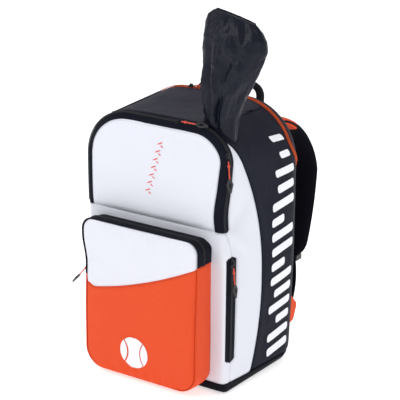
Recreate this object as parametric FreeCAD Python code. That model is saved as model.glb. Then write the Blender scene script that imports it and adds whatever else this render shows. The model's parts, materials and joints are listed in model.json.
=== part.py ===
"""Racket backpack with a front racket compartment, a lower pocket and a clamshell main compartment.

Millimetres. +Z is up, the front faces -Y and +X is the bag's left-to-right as seen from the front.
The origin is on the ground under the middle of the base.
"""
import FreeCAD, Part
import math
import os
from FreeCAD import Vector

# Walls and clearances
WALL = 4.0                # padded fabric of the body
POCKET_WALL = 3.0         # thinner fabric of the lower pocket
GAP = 0.4                 # clearance between two bodies that move apart

# Limits for cutting boxes that reach past the whole bag
WIDE = (-300.0, 300.0)
TALL = 800.0

# Body: depth stations, front to back
FRONT_Y = -120.0          # front face
EDGE_Y = -108.0           # where the rounded front edge meets the sides
MAIN_ZIP_Y = 62.0         # depth of the main zip over the top
BACK_EDGE_Y = 84.0        # where the back edge starts to round; the main zip runs down the sides here
BACK_Y = 95.0             # back face
MID_Z = 230.0             # height of the widest part of the sides
BODY_TOP = 494.0          # top of the body at the main zip
BASE_LIP = 20.0           # height of the base fabric up the sides
BACK_LIP = 30.0           # height at which the back panel starts

# y, half width at the foot, half width at MID_Z and above, top, left and right shoulder radius,
# underside height, radius of the lower corners. The underside is then cut flat at the ground.
STATIONS = [
    (FRONT_Y, 137, 139, 477, 80, 54, 4, 8),
    (EDGE_Y, 148.5, 149, 485, 88, 62, -2, 9),
    (MAIN_ZIP_Y, 161, 167, BODY_TOP, 108, 108, -2, 26),
    (BACK_EDGE_Y, 158, 163, 489, 104, 104, 6, 34),
    (BACK_Y, 146, 152, 478, 96, 96, 24, 34),
]

# Racket compartment: the flap is hinged along its lower seam
FLAP_SEAM_Z = 302.0
FLAP_ZIP_Y = -114.0       # plane where the flap meets the body
FLAP_BORDER = 4.0         # width of the zip tape round the flap's front face
FIXED_TAPE_Y = -106.0     # rear edge of the zip tape on the body
DIVIDER_Y = (-42.0, -39.0)

# Opening under the hood, in the top right corner of the body
HOOD_HOLE = (86.0, 136.0, -100.0, -62.0)
# height, middle x, half width, half depth and sideways slope of the hood's sections, mouth to tip
HOOD_SECTIONS = [
    (432, 112, 31, 22, 0),
    (490, 114, 36, 26, 0),
    (560, 126, 49, 31, 2),
    (615, 136, 57, 31, 6),
    (648, 140, 57, 26, 10),
    (675, 140, 41, 12, 14),
]
HOOD_MIDDLE_Y = -82.0
HOOD_WALL = 2.0

# Side zips sit in the seam between the front panel and the side panels
SIDE_SEAM_Y = -104.0
SIDE_TAPE = 12.0          # half width of the two tapes together
SIDE_SLOT = 2.5           # half width of the slot between the tapes
SIDE_ZIP_Z = (58.0, 258.0)
LINING_X = 134.0          # inner face of the side pocket linings
SIDE_LIMIT_X = 105.0      # seam between the top panel and the side bands

# Lower pocket
POCKET_HALF = 122.0
POCKET_MIDDLE_X = -3.0    # the pocket sits a little to the left
POCKET_Y = -167.0
POCKET_Z = (8.0, 292.0)
POCKET_R = (38.0, 24.0)   # radii of the lower and upper corners
POCKET_FOLD_Z = 242.0     # the top of the front folds forward about this line
POCKET_ZIP_Y = -148.0     # plane of the pocket zip
POCKET_ZIP_END_Z = 185.0  # the zip ends lower on the left than on the right
POCKET_FACE_Y = POCKET_Y + POCKET_WALL

# Back panel
TAPE = 4.0                # width of each main zip tape
BOARD = 2.4               # thickness of the stiffening sheet
PAD = 13.0                # thickness of the back pads
PATCH = 3.0               # thickness of the patches that the straps are sewn to

# Shoulder straps, right one; the left one is its mirror image
# Each strap hangs as a loop between its patch at the top and its tab at the foot
STRAP_TOP_Y = 107.0       # the pad starts this far back, clear of the patch
STRAP_TOP_Z = (440.0, 453.0)
PAD_END_Z = 178.0         # the pad ends here and the webbing goes on
STRAP_FOOT = Vector(129.5, 121, 99)
TAB_X = (141.5, 144.5)    # the tab that the webbing is sewn to
WEBBING = 2.0             # thickness of the webbing
WEBBING_HALF = 11.0       # half its width

# Grab handle
HANDLE_HALF = 74.0
HANDLE_Z = (468.0, 509.0)
HANDLE_Y = (96.5, 115.5)
HANDLE_BEND = 24.0
HANDLE_THICK = 3.0

# Zip sliders and pulls
SLIDER_LENGTH = 11.0
SLIDER_HALF_WIDTH = 4.0
SLIDER_PLATE = 2.2        # thickness of the slider's plate
SLIDER_LIFT = 0.5         # space under the plate
PIVOT = Vector(-1.0, 0, 4.4)  # the pull's pivot in the slider's own axes
PULL_START = -2.2         # where the cord starts along the zip
CORD_R = 1.1
CORD_LENGTH = 30.0
GRIP_LENGTH = 24.0
GRIP_HALF_WIDTH = 6.0
GRIP_THICKNESS = 2.4


def save(node, shape):
    """Writes one sub-part and reports its volume."""
    solids = shape.Solids
    result = solids[0] if len(solids) == 1 else Part.makeCompound(solids)
    result.exportStep("parts/" + node + ".step")
    print(node, len(solids), round(result.Volume), result.isValid())


def mirrored(shape):
    """The other side's copy of a piece."""
    return shape.mirror(Vector(0, 0, 0), Vector(1, 0, 0))


def same(shape):
    return shape


SIDES = (("right", same), ("left", mirrored))


def box(x, y, z):
    """A box from three (low, high) pairs."""
    return Part.makeBox(x[1] - x[0], y[1] - y[0], z[1] - z[0], Vector(x[0], y[0], z[0]))


def arc(a, b, c):
    return Part.Arc(a, b, c).toShape()


def corner(middle, radius, start_deg, place):
    """A quarter arc round middle; place turns two plane coordinates into a point."""
    angles = [math.radians(start_deg + step) for step in (0, 45, 90)]
    return arc(*[place(middle[0] + radius * math.cos(a), middle[1] + radius * math.sin(a)) for a in angles])


def chained(pieces):
    """A closed wire from edges, with straight edges filling the spaces between them."""
    edges = []
    for index, piece in enumerate(pieces):
        following = pieces[(index + 1) % len(pieces)]
        start = piece.valueAt(piece.LastParameter)
        end = following.valueAt(following.FirstParameter)
        edges.append(piece)
        if start.distanceToPoint(end) > 1e-6:
            edges.append(Part.makeLine(start, end))
    return Part.Wire(edges)


def prism(outline, place, depth):
    """A solid from an outline of points and [start, middle, end] arcs, pushed along depth."""
    edges = []
    for index, item in enumerate(outline):
        following = outline[(index + 1) % len(outline)]
        points = [place(*p) for p in (item if isinstance(item, list) else [item])]
        if len(points) == 3:
            edges.append(arc(*points))
        start = points[-1]
        end = place(*(following[0] if isinstance(following, list) else following))
        if start.distanceToPoint(end) > 1e-6:
            edges.append(Part.makeLine(start, end))
    return Part.Face(Part.Wire(edges)).extrude(depth)


def prism_x(outline, x):
    """A YZ outline pushed along X."""
    return prism(outline, lambda y, z: Vector(x[0], y, z), Vector(x[1] - x[0], 0, 0))


def prism_y(outline, y):
    """An XZ outline pushed along Y."""
    return prism(outline, lambda x, z: Vector(x, y[0], z), Vector(0, y[1] - y[0], 0))


def body_outline(station, inset):
    """The body's closed XZ outline at one depth."""
    y, foot, mid, top, r_left, r_right, under, r_low = station
    foot, mid, top, under = foot - inset, mid - inset, top - inset, under + inset
    r_left, r_right, r_low = [max(r - inset, 2) for r in (r_left, r_right, r_low)]

    def place(x, z):
        return Vector(x, y, z)

    low_right = corner((foot - r_low, under + r_low), r_low, 270, place)
    right = Part.makeLine(place(foot, under + r_low), place(mid, MID_Z))
    top_right = corner((mid - r_right, top - r_right), r_right, 0, place)
    top_left = corner((-mid + r_left, top - r_left), r_left, 90, place)
    left = Part.makeLine(place(-mid, MID_Z), place(-foot, under + r_low))
    low_left = corner((-foot + r_low, under + r_low), r_low, 180, place)
    return chained([low_right, right, top_right, top_left, left, low_left])


def body_solid(inset):
    """The body's outer shape, or an inner one when inset is positive."""
    wires = []
    for station in STATIONS:
        y = station[0]
        if y == FRONT_Y:
            y += inset
        if y == BACK_Y:
            y -= inset
        wires.append(body_outline((y,) + station[1:], inset))
    return Part.makeLoft(wires, True, True).common(box(WIDE, WIDE, (inset, TALL)))


def rounded_outline(half, low, high, r_low, r_high, y):
    """A symmetric XZ outline with rounded corners."""
    def place(x, z):
        return Vector(x, y, z)

    return chained([
        corner((half - r_low, low + r_low), r_low, 270, place),
        corner((half - r_high, high - r_high), r_high, 0, place),
        corner((-half + r_high, high - r_high), r_high, 90, place),
        corner((-half + r_low, low + r_low), r_low, 180, place),
    ])


def pocket_solid(inset, back_y):
    """The lower pocket's outer shape, with a small round along its front edge."""
    low, high = POCKET_Z
    front = POCKET_Y + inset
    wires = []
    for depth, extra in ((front, 4), (front + 6, 0), (back_y, 0)):
        d = inset + extra
        r_low, r_high = [r - inset for r in POCKET_R]
        wire = rounded_outline(POCKET_HALF - d, low + d, high - d, r_low, r_high, depth)
        wire.translate(Vector(POCKET_MIDDLE_X, 0, 0))
        wires.append(wire)
    return Part.makeLoft(wires, True, True)


def side_seam_front():
    """The region in front of the seam between the white side panels and the dark bands."""
    return [
        (-150, -10), (-50, -10), [(-50, 0), (-27, 105), (-23, 200)], [(-23, 200), (-58, 375), (-112, 470)],
        (-112, 520), (-150, 520),
    ]


def behind_zip(shift):
    """The region behind the main zip, whose line drops to the back edge below the shoulders."""
    top, edge = MAIN_ZIP_Y + shift, BACK_EDGE_Y + shift
    middle = ((top + edge) / 2, 410)
    return prism_x([(150, -20), (edge, -20), [(edge, 375), (edge - 2.8, 393.4), middle],
                    [middle, (top + 2.8, 426.6), (top, 445)], (top, 520), (150, 520)], WIDE)


def side_zip_seam():
    """The region of the front panel: it wraps the corner as far as the side zips."""
    low, high = SIDE_ZIP_Z
    tape_edge = SIDE_SEAM_Y - SIDE_TAPE
    return [
        (-150, BASE_LIP), (SIDE_SEAM_Y, BASE_LIP), (SIDE_SEAM_Y, low), (tape_edge, low), (tape_edge, high),
        (SIDE_SEAM_Y, high), (FLAP_ZIP_Y, FLAP_SEAM_Z), (-150, FLAP_SEAM_Z),
    ]


def side_tape_region():
    low, high = SIDE_ZIP_Z
    front = box((100, 200), (SIDE_SEAM_Y - SIDE_TAPE, SIDE_SEAM_Y - SIDE_SLOT), (low, high))
    rear = box((100, 200), (SIDE_SEAM_Y + SIDE_SLOT, SIDE_SEAM_Y + SIDE_TAPE), (low, high))
    return front.fuse(rear)


def make_body():
    """Fabric panels of the standing body, cut from one thin shell along its seams."""
    outer = body_solid(0)
    inner = body_solid(WALL)
    shell = outer.cut(inner)
    everywhere = (-200, 200)
    hood_hole = box(HOOD_HOLE[0:2], HOOD_HOLE[2:4], (400, 520))

    lip_end = BACK_EDGE_Y - GAP / 2
    base_region = prism_x([(-150, -5), (120, -5), (120, BACK_LIP - GAP), (lip_end, BACK_LIP - GAP),
                           (lip_end, BASE_LIP), (-150, BASE_LIP)], everywhere)
    save("base_panel", shell.common(base_region))

    front_region = prism_x(side_zip_seam(), everywhere)
    save("front_panel", shell.common(front_region))

    flap_tape = shell.common(box(everywhere, (FLAP_ZIP_Y, FIXED_TAPE_Y), (FLAP_SEAM_Z, 520)))
    save("flap_zip_fixed", flap_tape)

    walls = shell.common(box(everywhere, (-150, 150), (BASE_LIP, 520)))
    before_zip = walls.cut(behind_zip(-GAP / 2))
    save("main_zip_front", before_zip.common(behind_zip(-TAPE)))

    walls = before_zip.cut(behind_zip(-TAPE))
    walls = walls.cut(front_region).cut(box(everywhere, (-150, FIXED_TAPE_Y), (FLAP_SEAM_Z, 520)))
    walls = walls.cut(hood_hole)
    crown = box((-SIDE_LIMIT_X, SIDE_LIMIT_X), (-150, 150), (400, 520))
    save("top_panel", walls.common(crown))

    walls = walls.cut(crown)
    tapes = side_tape_region()
    tape_window = box((100, 200), (SIDE_SEAM_Y - SIDE_TAPE, SIDE_SEAM_Y + SIDE_TAPE), SIDE_ZIP_Z)
    light_region = prism_x(side_seam_front(), (0, 200))
    for side, turn in SIDES:
        half = walls.common(turn(box((0, 200), (-150, 150), (0, 520))))
        save(side + "_side_panel", half.common(turn(light_region)).cut(turn(tape_window)))
        save(side + "_side_band", half.cut(turn(light_region)))
        save(side + "_side_zip", shell.common(turn(tapes)))
        lining = box((LINING_X, 200), (-113, -46), (48, 272))
        lining = lining.cut(box((LINING_X + 2, 200), (-111, -48), (50, 270)))
        save(side + "_pocket_lining", body_solid(WALL).common(turn(lining)))

    save("racket_divider", inner.common(box(everywhere, DIVIDER_Y, (BASE_LIP, 520))))
    return outer, inner, shell


def make_front_flap(outer):
    """The racket compartment's flap and the zip tape round its edge."""
    above = (FLAP_SEAM_Z + GAP, 520)
    slab = outer.common(box((-200, 200), (-150, FLAP_ZIP_Y - GAP), above))
    face = slab.common(box((-200, 200), (-150, FRONT_Y + WALL), above))
    y, foot, mid, top, r_left, r_right, under, r_low = STATIONS[0]
    border = FLAP_BORDER
    inside = Part.Face(body_outline((-150, foot - border, mid - border, top - border,
                                     r_left - border, r_right - border, under, r_low), 0))
    core = inside.extrude(Vector(0, 60, 0))
    save("flap_panel", face.common(core))
    save("flap_zip_border", slab.cut(body_solid(WALL)).cut(core))


def make_pocket():
    """The lower pocket: fixed front, gusset and zip, and the folding top."""
    shell = pocket_solid(0, FRONT_Y).cut(pocket_solid(POCKET_WALL, FRONT_Y + 10))
    everywhere = (-200, 200)
    below = (-5, POCKET_FOLD_Z)
    above = (POCKET_FOLD_Z + GAP, 320)
    front = shell.common(box(everywhere, (-200, POCKET_FACE_Y), below))
    below_seam = [[(-130, 168), (-54, 176), (13, 199)], [(13, 199), (70, 221), (130, 250)],
                  (130, -20), (-130, -20)]
    lower = prism_y(below_seam, (-200, -100))
    save("pocket_front_lower", front.common(lower))
    save("pocket_front_upper", front.cut(lower))

    left_zip = box((-200, -60), (POCKET_FACE_Y, FRONT_Y), (POCKET_ZIP_END_Z, POCKET_FOLD_Z))
    gusset = shell.common(box(everywhere, (POCKET_FACE_Y, FRONT_Y), below))
    save("pocket_gusset", gusset.cut(left_zip))
    fixed = shell.common(box(everywhere, (POCKET_ZIP_Y + GAP / 2, FRONT_Y), (POCKET_FOLD_Z, 320)))
    save("pocket_zip_fixed", fixed.fuse(gusset.common(left_zip)))

    save("pocket_flap_panel", shell.common(box(everywhere, (-200, POCKET_FACE_Y), above)))
    save("pocket_flap_zip", shell.common(box(everywhere, (POCKET_FACE_Y, POCKET_ZIP_Y - GAP / 2), above)))


def rounded_pad(x, z, radius, y):
    """A flat pad with rounded corners, its front edges eased."""
    middle = (x[0] + x[1]) / 2
    half = (x[1] - x[0]) / 2
    wires = []
    for depth, inset in ((y[0], 0), (y[1] - 5, 0), (y[1], 5)):
        r = radius - inset
        wire = rounded_outline(half - inset, z[0] + inset, z[1] - inset, r, r, depth)
        wire.translate(Vector(middle, 0, 0))
        wires.append(wire)
    return Part.makeLoft(wires, True, True)


def make_back_panel(inner, shell):
    """The back: it carries the board, the pads, the straps and the handle."""
    everywhere = (-200, 200)
    above = (BACK_LIP, 520)
    inside_y = BACK_Y - WALL
    rim = shell.common(box(everywhere, (0, inside_y), above)).common(behind_zip(GAP / 2))
    rear = behind_zip(GAP / 2 + TAPE)
    save("main_zip_rear", rim.cut(rear))
    save("back_gusset", rim.common(rear))
    save("back_face", shell.common(box(everywhere, (inside_y, BACK_Y + 1), above)))
    board_room = box(everywhere, (inside_y - BOARD, inside_y), (BACK_LIP + 12, 466))
    save("back_board", inner.common(board_room))
    pad_y = (BACK_Y, BACK_Y + PAD)
    save("right_back_pad", rounded_pad((16, 100), (124, 424), 24, pad_y))
    save("left_back_pad", rounded_pad((-100, -16), (124, 424), 24, pad_y))
    save("lumbar_pad", rounded_pad((-104, 104), (50, 112), 24, pad_y))

    patch = rounded_pad((48, 110), (430, 464), 8, (BACK_Y, BACK_Y + 8))
    patch = patch.common(box((0, 200), (BACK_Y, BACK_Y + PATCH), (0, 474)))
    tab = prism_x([(BACK_Y - 8, 54), (BACK_Y - 8, 124), (110, 114), (128, 95), (129, 87), (119, 64)], TAB_X)
    tab = tab.cut(body_solid(0))
    for side, turn in SIDES:
        save(side + "_strap_patch", turn(patch))
        save(side + "_strap_tab", turn(tab))


def make_handle():
    """A webbing grab handle over the back panel's top edge."""
    foot, top = HANDLE_Z
    legs = []
    for inset in (0, HANDLE_THICK):
        half = HANDLE_HALF - inset
        bend = HANDLE_BEND - inset

        def place(x, z):
            return Vector(x, HANDLE_Y[0], z)

        wire = chained([
            Part.makeLine(place(-half, foot), place(half, foot)),
            corner((half - bend, top - inset - bend), bend, 0, place),
            corner((-half + bend, top - inset - bend), bend, 90, place),
        ])
        legs.append(Part.Face(wire).extrude(Vector(0, HANDLE_Y[1] - HANDLE_Y[0], 0)))
    save("grab_handle", legs[0].cut(legs[1]))


def make_straps():
    """Padded shoulder straps with lower webbing and ladder-lock adjusters."""
    low, high = STRAP_TOP_Z
    pad_side = prism_x([[(STRAP_TOP_Y, high), (177, 413), (202, 338)],
                        [(202, 338), (181, 258), (163, PAD_END_Z)],
                        [(151, PAD_END_Z + 2), (169, 260), (190, 338)],
                        [(190, 338), (167, 401), (STRAP_TOP_Y, low)]], (30, 180))
    pad_front = prism_y([[(52, 480), (77, 345), (88, 160)],
                         [(138, 160), (140, 335), (108, 480)]], (80, 240))
    pad = pad_side.common(pad_front).cut(box((0, 200), (90, 240), (0, PAD_END_Z)))

    end_y = STRAP_FOOT.y + 1
    web_side = prism_x([[(156, 176), (146, 134), (end_y, STRAP_FOOT.z)],
                        [(end_y - WEBBING, STRAP_FOOT.z + 1.5), (144, 135), (154, 176)]], (80, 200))
    half = WEBBING_HALF
    web_front = prism_y([(112 - half, 190), (112 + half, 190),
                         (STRAP_FOOT.x + half, 70), (STRAP_FOOT.x - half, 70)], (80, 240))
    webbing = web_side.common(web_front)

    lock = box((97, 131), (148, 166), (168, PAD_END_Z)).cut(box((100, 128), (150.5, 162), (150, 190)))
    for side, turn in SIDES:
        save(side + "_strap_pad", turn(pad))
        save(side + "_strap_webbing", turn(webbing))
        save(side + "_strap_adjuster", turn(lock))


def make_hood():
    """A fabric sleeve for the racket handles, open at its mouth."""
    shells = []
    for inset in (0, HOOD_WALL):
        wires = []
        for height, middle, half_width, half_depth, slope in HOOD_SECTIONS:
            if inset and height == HOOD_SECTIONS[0][0]:
                height -= 1
            if inset and height == HOOD_SECTIONS[-1][0]:
                height -= 3
            ellipse = Part.Ellipse(Vector(0, 0, 0), half_width - inset, half_depth - inset)
            wire = Part.Wire(ellipse.toShape())
            wire.rotate(Vector(0, 0, 0), Vector(0, 1, 0), slope)
            wire.translate(Vector(middle, HOOD_MIDDLE_Y, height))
            wires.append(wire)
        shells.append(Part.makeLoft(wires, True, True))
    sleeve = shells[0].cut(shells[1])
    save("hood", sleeve.cut(body_solid(-1.0)))


def frame_at(origin, along, outward):
    """A placement whose X runs along the zip and whose Z points out of the fabric."""
    x = Vector(*along).normalize()
    z = Vector(*outward).normalize()
    y = z.cross(x)
    return FreeCAD.Matrix(x.x, y.x, z.x, origin[0],
                          x.y, y.y, z.y, origin[1],
                          x.z, y.z, z.z, origin[2],
                          0, 0, 0, 1)


def slider_shape():
    """A slider on the tape: plate, bridge and the two ends of the bail."""
    plate = Part.makeBox(SLIDER_LENGTH, 2 * SLIDER_HALF_WIDTH, SLIDER_PLATE,
                         Vector(0, -SLIDER_HALF_WIDTH, SLIDER_LIFT))
    bridge = Part.makeBox(6, 3, 3.2, Vector(2.5, -1.5, SLIDER_LIFT + SLIDER_PLATE))
    return plate.fuse(bridge)


def cord_shape():
    """The cord of a pull, from the slider to the grip, with a bead part way."""
    cord = Part.makeCylinder(CORD_R, CORD_LENGTH, Vector(PULL_START, 0, PIVOT.z), Vector(-1, 0, 0))
    bead = Part.makeCylinder(CORD_R + 1.0, 4, Vector(PULL_START - 6, 0, PIVOT.z), Vector(-1, 0, 0))
    return cord.fuse(bead)


def grip_shape():
    """A moulded diamond grip with a triangular hole."""
    start = PULL_START - CORD_LENGTH
    low = PIVOT.z - GRIP_THICKNESS / 2
    waist = start - 9
    tip = start - GRIP_LENGTH
    outline = [(start, -2.5), (start, 2.5), (waist, GRIP_HALF_WIDTH), (tip, 1.5), (tip, -1.5),
               (waist, -GRIP_HALF_WIDTH)]
    hole = [(start - 5, 0), (waist - 1, 3.2), (waist - 8, 0), (waist - 1, -3.2)]
    faces = []
    for points in (outline, hole):
        loop = [Vector(px, py, low) for px, py in points]
        faces.append(Part.Face(Part.makePolygon(loop + loop[:1])))
    solids = [face.extrude(Vector(0, 0, GRIP_THICKNESS)) for face in faces]
    return solids[0].cut(solids[1])


# name, origin on the tape at the slider's pull end, direction of the zip away from the pull, outward normal,
# and how far the pull hangs away from the zip, in degrees
SLIDERS = [
    ("main_slider", (-46, MAIN_ZIP_Y, BODY_TOP), (-1, 0, 0), (0, 0, 1), 0),
    ("flap_top_slider", (50, FLAP_ZIP_Y, 482), (-1, 0, 0), (0, -0.55, 0.84), 0),
    ("flap_side_slider", (145, FLAP_ZIP_Y, 434), (0, 0, 1), (0.77, -0.64, 0), 15),
    ("pocket_slider", (POCKET_MIDDLE_X - POCKET_HALF, POCKET_ZIP_Y, 196), (0, 0, 1), (-1, 0, 0), 42),
    ("right_side_slider", (149.8, SIDE_SEAM_Y, 240), (0, 0, 1), (1, -0.11, 0), 6),
    ("left_side_slider", (-149.8, SIDE_SEAM_Y, 240), (0, 0, 1), (-1, -0.11, 0), 6),
]


def make_sliders():
    for name, origin, along, outward, hang in SLIDERS:
        place = frame_at(origin, along, outward)
        save(name, slider_shape().transformed(place))
        for piece, shape in (("_pull_cord", cord_shape()), ("_pull_grip", grip_shape())):
            shape.rotate(PIVOT, Vector(0, 1, 0), hang)
            save(name.replace("_slider", piece), shape.transformed(place))


os.makedirs("parts", exist_ok=True)
body_outer, body_inner, body_shell = make_body()
make_front_flap(body_outer)
make_pocket()
make_back_panel(body_inner, body_shell)
make_handle()
make_straps()
make_hood()
make_sliders()
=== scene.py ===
"""Looks of the racket backpack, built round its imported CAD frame. Metres, in the frame's own axes."""
import json
import math

import bpy
from mathutils import Matrix, Vector, noise
from mathutils.bvhtree import BVHTree


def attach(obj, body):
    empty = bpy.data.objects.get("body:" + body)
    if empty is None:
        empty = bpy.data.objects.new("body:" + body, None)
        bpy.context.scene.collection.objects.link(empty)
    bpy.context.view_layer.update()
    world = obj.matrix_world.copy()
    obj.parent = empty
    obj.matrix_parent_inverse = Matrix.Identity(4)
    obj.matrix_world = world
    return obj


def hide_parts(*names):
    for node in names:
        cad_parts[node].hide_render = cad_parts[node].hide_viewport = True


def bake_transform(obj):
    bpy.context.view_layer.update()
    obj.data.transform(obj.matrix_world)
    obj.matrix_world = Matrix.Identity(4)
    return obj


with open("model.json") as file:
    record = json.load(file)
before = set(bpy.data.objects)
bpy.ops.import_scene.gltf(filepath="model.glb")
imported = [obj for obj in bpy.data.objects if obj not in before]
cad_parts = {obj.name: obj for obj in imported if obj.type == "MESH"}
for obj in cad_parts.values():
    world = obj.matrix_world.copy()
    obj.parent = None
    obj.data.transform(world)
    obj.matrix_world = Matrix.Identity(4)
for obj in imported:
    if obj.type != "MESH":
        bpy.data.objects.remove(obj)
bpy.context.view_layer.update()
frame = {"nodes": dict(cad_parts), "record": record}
SCENE = bpy.context.scene

# ---------------------------------------------------------------- camera, light, floor

CAMERA_AZIMUTH = 34.2
CAMERA_ELEVATION = 18.5
CAMERA_ROLL = 0.5
CAMERA_DISTANCE = 2.79
CAMERA_LENS = 138.8
CAMERA_TARGET = Vector((0.012, 0.0, 0.3055))


def make_camera():
    data = bpy.data.cameras.new("camera")
    data.lens = CAMERA_LENS
    data.sensor_width = 36.0
    camera = bpy.data.objects.new("camera", data)
    azimuth = math.radians(CAMERA_AZIMUTH)
    elevation = math.radians(CAMERA_ELEVATION)
    back = Vector((math.sin(azimuth) * math.cos(elevation), -math.cos(azimuth) * math.cos(elevation),
                   math.sin(elevation)))
    camera.location = CAMERA_TARGET + back * CAMERA_DISTANCE
    turn = (-back).to_track_quat("-Z", "Y").to_matrix().to_4x4()
    turn = turn @ Matrix.Rotation(math.radians(CAMERA_ROLL), 4, "Z")
    camera.rotation_euler = turn.to_euler()
    SCENE.collection.objects.link(camera)
    SCENE.camera = camera


def area_light(name, place, target, size, power, colour=(1.0, 1.0, 1.0)):
    data = bpy.data.lights.new(name, "AREA")
    data.shape = "DISK"
    data.size = size
    data.energy = power
    data.color = colour
    light = bpy.data.objects.new(name, data)
    light.location = place
    light.rotation_euler = (Vector(target) - Vector(place)).to_track_quat("-Z", "Y").to_euler()
    SCENE.collection.objects.link(light)


def make_studio():
    world = bpy.data.worlds.new("studio")
    world.use_nodes = True
    background = world.node_tree.nodes["Background"]
    background.inputs["Color"].default_value = (0.97, 0.98, 1.0, 1)
    background.inputs["Strength"].default_value = 0.60
    SCENE.world = world
    SCENE.view_settings.view_transform = "Standard"
    middle = (0.0, 0.0, 0.28)
    area_light("key", (-1.1, -1.9, 1.9), middle, 1.2, 17)
    area_light("fill", (2.3, -1.1, 1.1), middle, 1.6, 8)
    area_light("top", (0.2, 0.6, 2.3), middle, 1.4, 7)
    area_light("rim", (0.9, 1.9, 1.1), middle, 1.2, 3.5)
    bpy.ops.mesh.primitive_plane_add(size=60, location=(0, 0, -0.0005))
    floor = bpy.context.object
    floor.name = "floor"
    material = bpy.data.materials.new("floor")
    material.use_nodes = True
    shader = material.node_tree.nodes["Principled BSDF"]
    shader.inputs["Base Color"].default_value = (0.93, 0.93, 0.935, 1)
    shader.inputs["Roughness"].default_value = 0.9
    shader.inputs["Emission Color"].default_value = (1, 1, 1, 1)
    shader.inputs["Emission Strength"].default_value = 0.60
    floor.data.materials.append(material)


# ---------------------------------------------------------------- materials


class Nodes:
    """A short way to write a material's nodes."""

    def __init__(self, name, colour, rough, metallic=0.0, sheen=0.0, coat=0.0, shine=0.5):
        self.material = bpy.data.materials.new(name)
        self.material.use_nodes = True
        self.tree = self.material.node_tree
        self.shader = self.tree.nodes["Principled BSDF"]
        self.set("Base Color", (*colour, 1))
        self.set("Roughness", rough)
        self.set("Metallic", metallic)
        self.set("Sheen Weight", sheen)
        self.set("Sheen Roughness", 0.5)
        self.set("Coat Weight", coat)
        self.set("Specular IOR Level", shine)
        self.place = self.add("ShaderNodeTexCoord").outputs["Object"]

    def set(self, socket, value):
        self.shader.inputs[socket].default_value = value

    def add(self, kind, **values):
        node = self.tree.nodes.new(kind)
        for key, value in values.items():
            if key in node.inputs:
                node.inputs[key].default_value = value
            else:
                setattr(node, key, value)
        return node

    def link(self, output, target):
        self.tree.links.new(output, target)

    def noise(self, scale, detail=3.0, stretch=(1, 1, 1)):
        node = self.add("ShaderNodeTexNoise", Scale=scale, Detail=detail)
        if stretch == (1, 1, 1):
            self.link(self.place, node.inputs["Vector"])
        else:
            scaling = self.add("ShaderNodeMapping", Scale=stretch)
            self.link(self.place, scaling.inputs["Vector"])
            self.link(scaling.outputs["Vector"], node.inputs["Vector"])
        return node.outputs["Fac"]

    def waves(self, direction, period):
        """Threads across one direction; a wave texture's period is 0.314 over its scale."""
        node = self.add("ShaderNodeTexWave", bands_direction=direction, Scale=0.314 / period)
        self.link(self.place, node.inputs["Vector"])
        return node.outputs["Fac"]

    def math(self, operation, a, b):
        node = self.add("ShaderNodeMath", operation=operation)
        for socket, value in zip(node.inputs, (a, b)):
            if isinstance(value, (int, float)):
                socket.default_value = value
            else:
                self.link(value, socket)
        return node.outputs[0]

    def ramp(self, value, low, high):
        node = self.add("ShaderNodeMapRange")
        self.link(value, node.inputs["Value"])
        node.inputs["To Min"].default_value = low
        node.inputs["To Max"].default_value = high
        return node.outputs["Result"]

    def tint(self, value, dark, light):
        """Base colour between two colours, by a value from 0 to 1."""
        mix = self.add("ShaderNodeMix", data_type="RGBA")
        mix.inputs["A"].default_value = (*dark, 1)
        mix.inputs["B"].default_value = (*light, 1)
        for socket, colour in ((6, dark), (7, light)):
            mix.inputs[socket].default_value = (*colour, 1)
        self.link(value, mix.inputs[0])
        self.link(mix.outputs[2], self.shader.inputs["Base Color"])

    def bump(self, layers):
        """Stacks (height, distance) bumps on the shader's normal."""
        normal = None
        for height, distance in layers:
            node = self.add("ShaderNodeBump", Strength=1.0, Distance=distance)
            self.link(height, node.inputs["Height"])
            if normal is not None:
                self.link(normal, node.inputs["Normal"])
            normal = node.outputs["Normal"]
        self.link(normal, self.shader.inputs["Normal"])


def scaled(colour, factor):
    return tuple(min(c * factor, 1.0) for c in colour)


def fabric(name, colour, thread=0.0009, weave=0.00012, rough=0.8, sheen=0.02, mottle=0.06, crumple=0.0006,
           crumple_scale=28.0, shine=0.18):
    """Woven cloth: crossed threads, soft crumples, slightly uneven colour and roughness."""
    n = Nodes(name, colour, rough, sheen=sheen, shine=shine)
    threads = n.math("ADD", n.waves("X", thread), n.waves("Y", thread))
    threads = n.math("ADD", threads, n.waves("Z", thread))
    patches = n.noise(9.0, 4.0)
    fine = n.noise(700.0, 2.0)
    value = n.math("ADD", n.math("MULTIPLY", patches, 0.7), n.math("MULTIPLY", fine, 0.3))
    n.tint(value, scaled(colour, 1 - mottle), scaled(colour, 1 + mottle))
    n.link(n.ramp(fine, rough - 0.08, rough + 0.06), n.shader.inputs["Roughness"])
    n.bump([(n.noise(crumple_scale, 3.0), crumple), (threads, weave)])
    return n.material


def webbing(name, colour, rib=0.0022, direction="X"):
    """Narrow ribbed tape: ribs along its length and fine cross threads, its colour darker in the rib grooves and
    lighter on the rib crowns: painted shade and painted highlight.
    """
    n = Nodes(name, colour, 0.62, shine=0.08)
    ribs = n.waves(direction, rib)
    threads = n.waves("Z" if direction != "Z" else "Y", 0.0008)
    # painted shade and highlight: the colour follows the ribs' bump, dark in the grooves and light on the crowns
    n.tint(ribs, scaled(colour, 0.7), scaled(colour, 1.5))
    n.bump([(ribs, 0.0003), (threads, 0.00008), (n.noise(60.0), 0.0002)])
    return n.material


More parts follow.
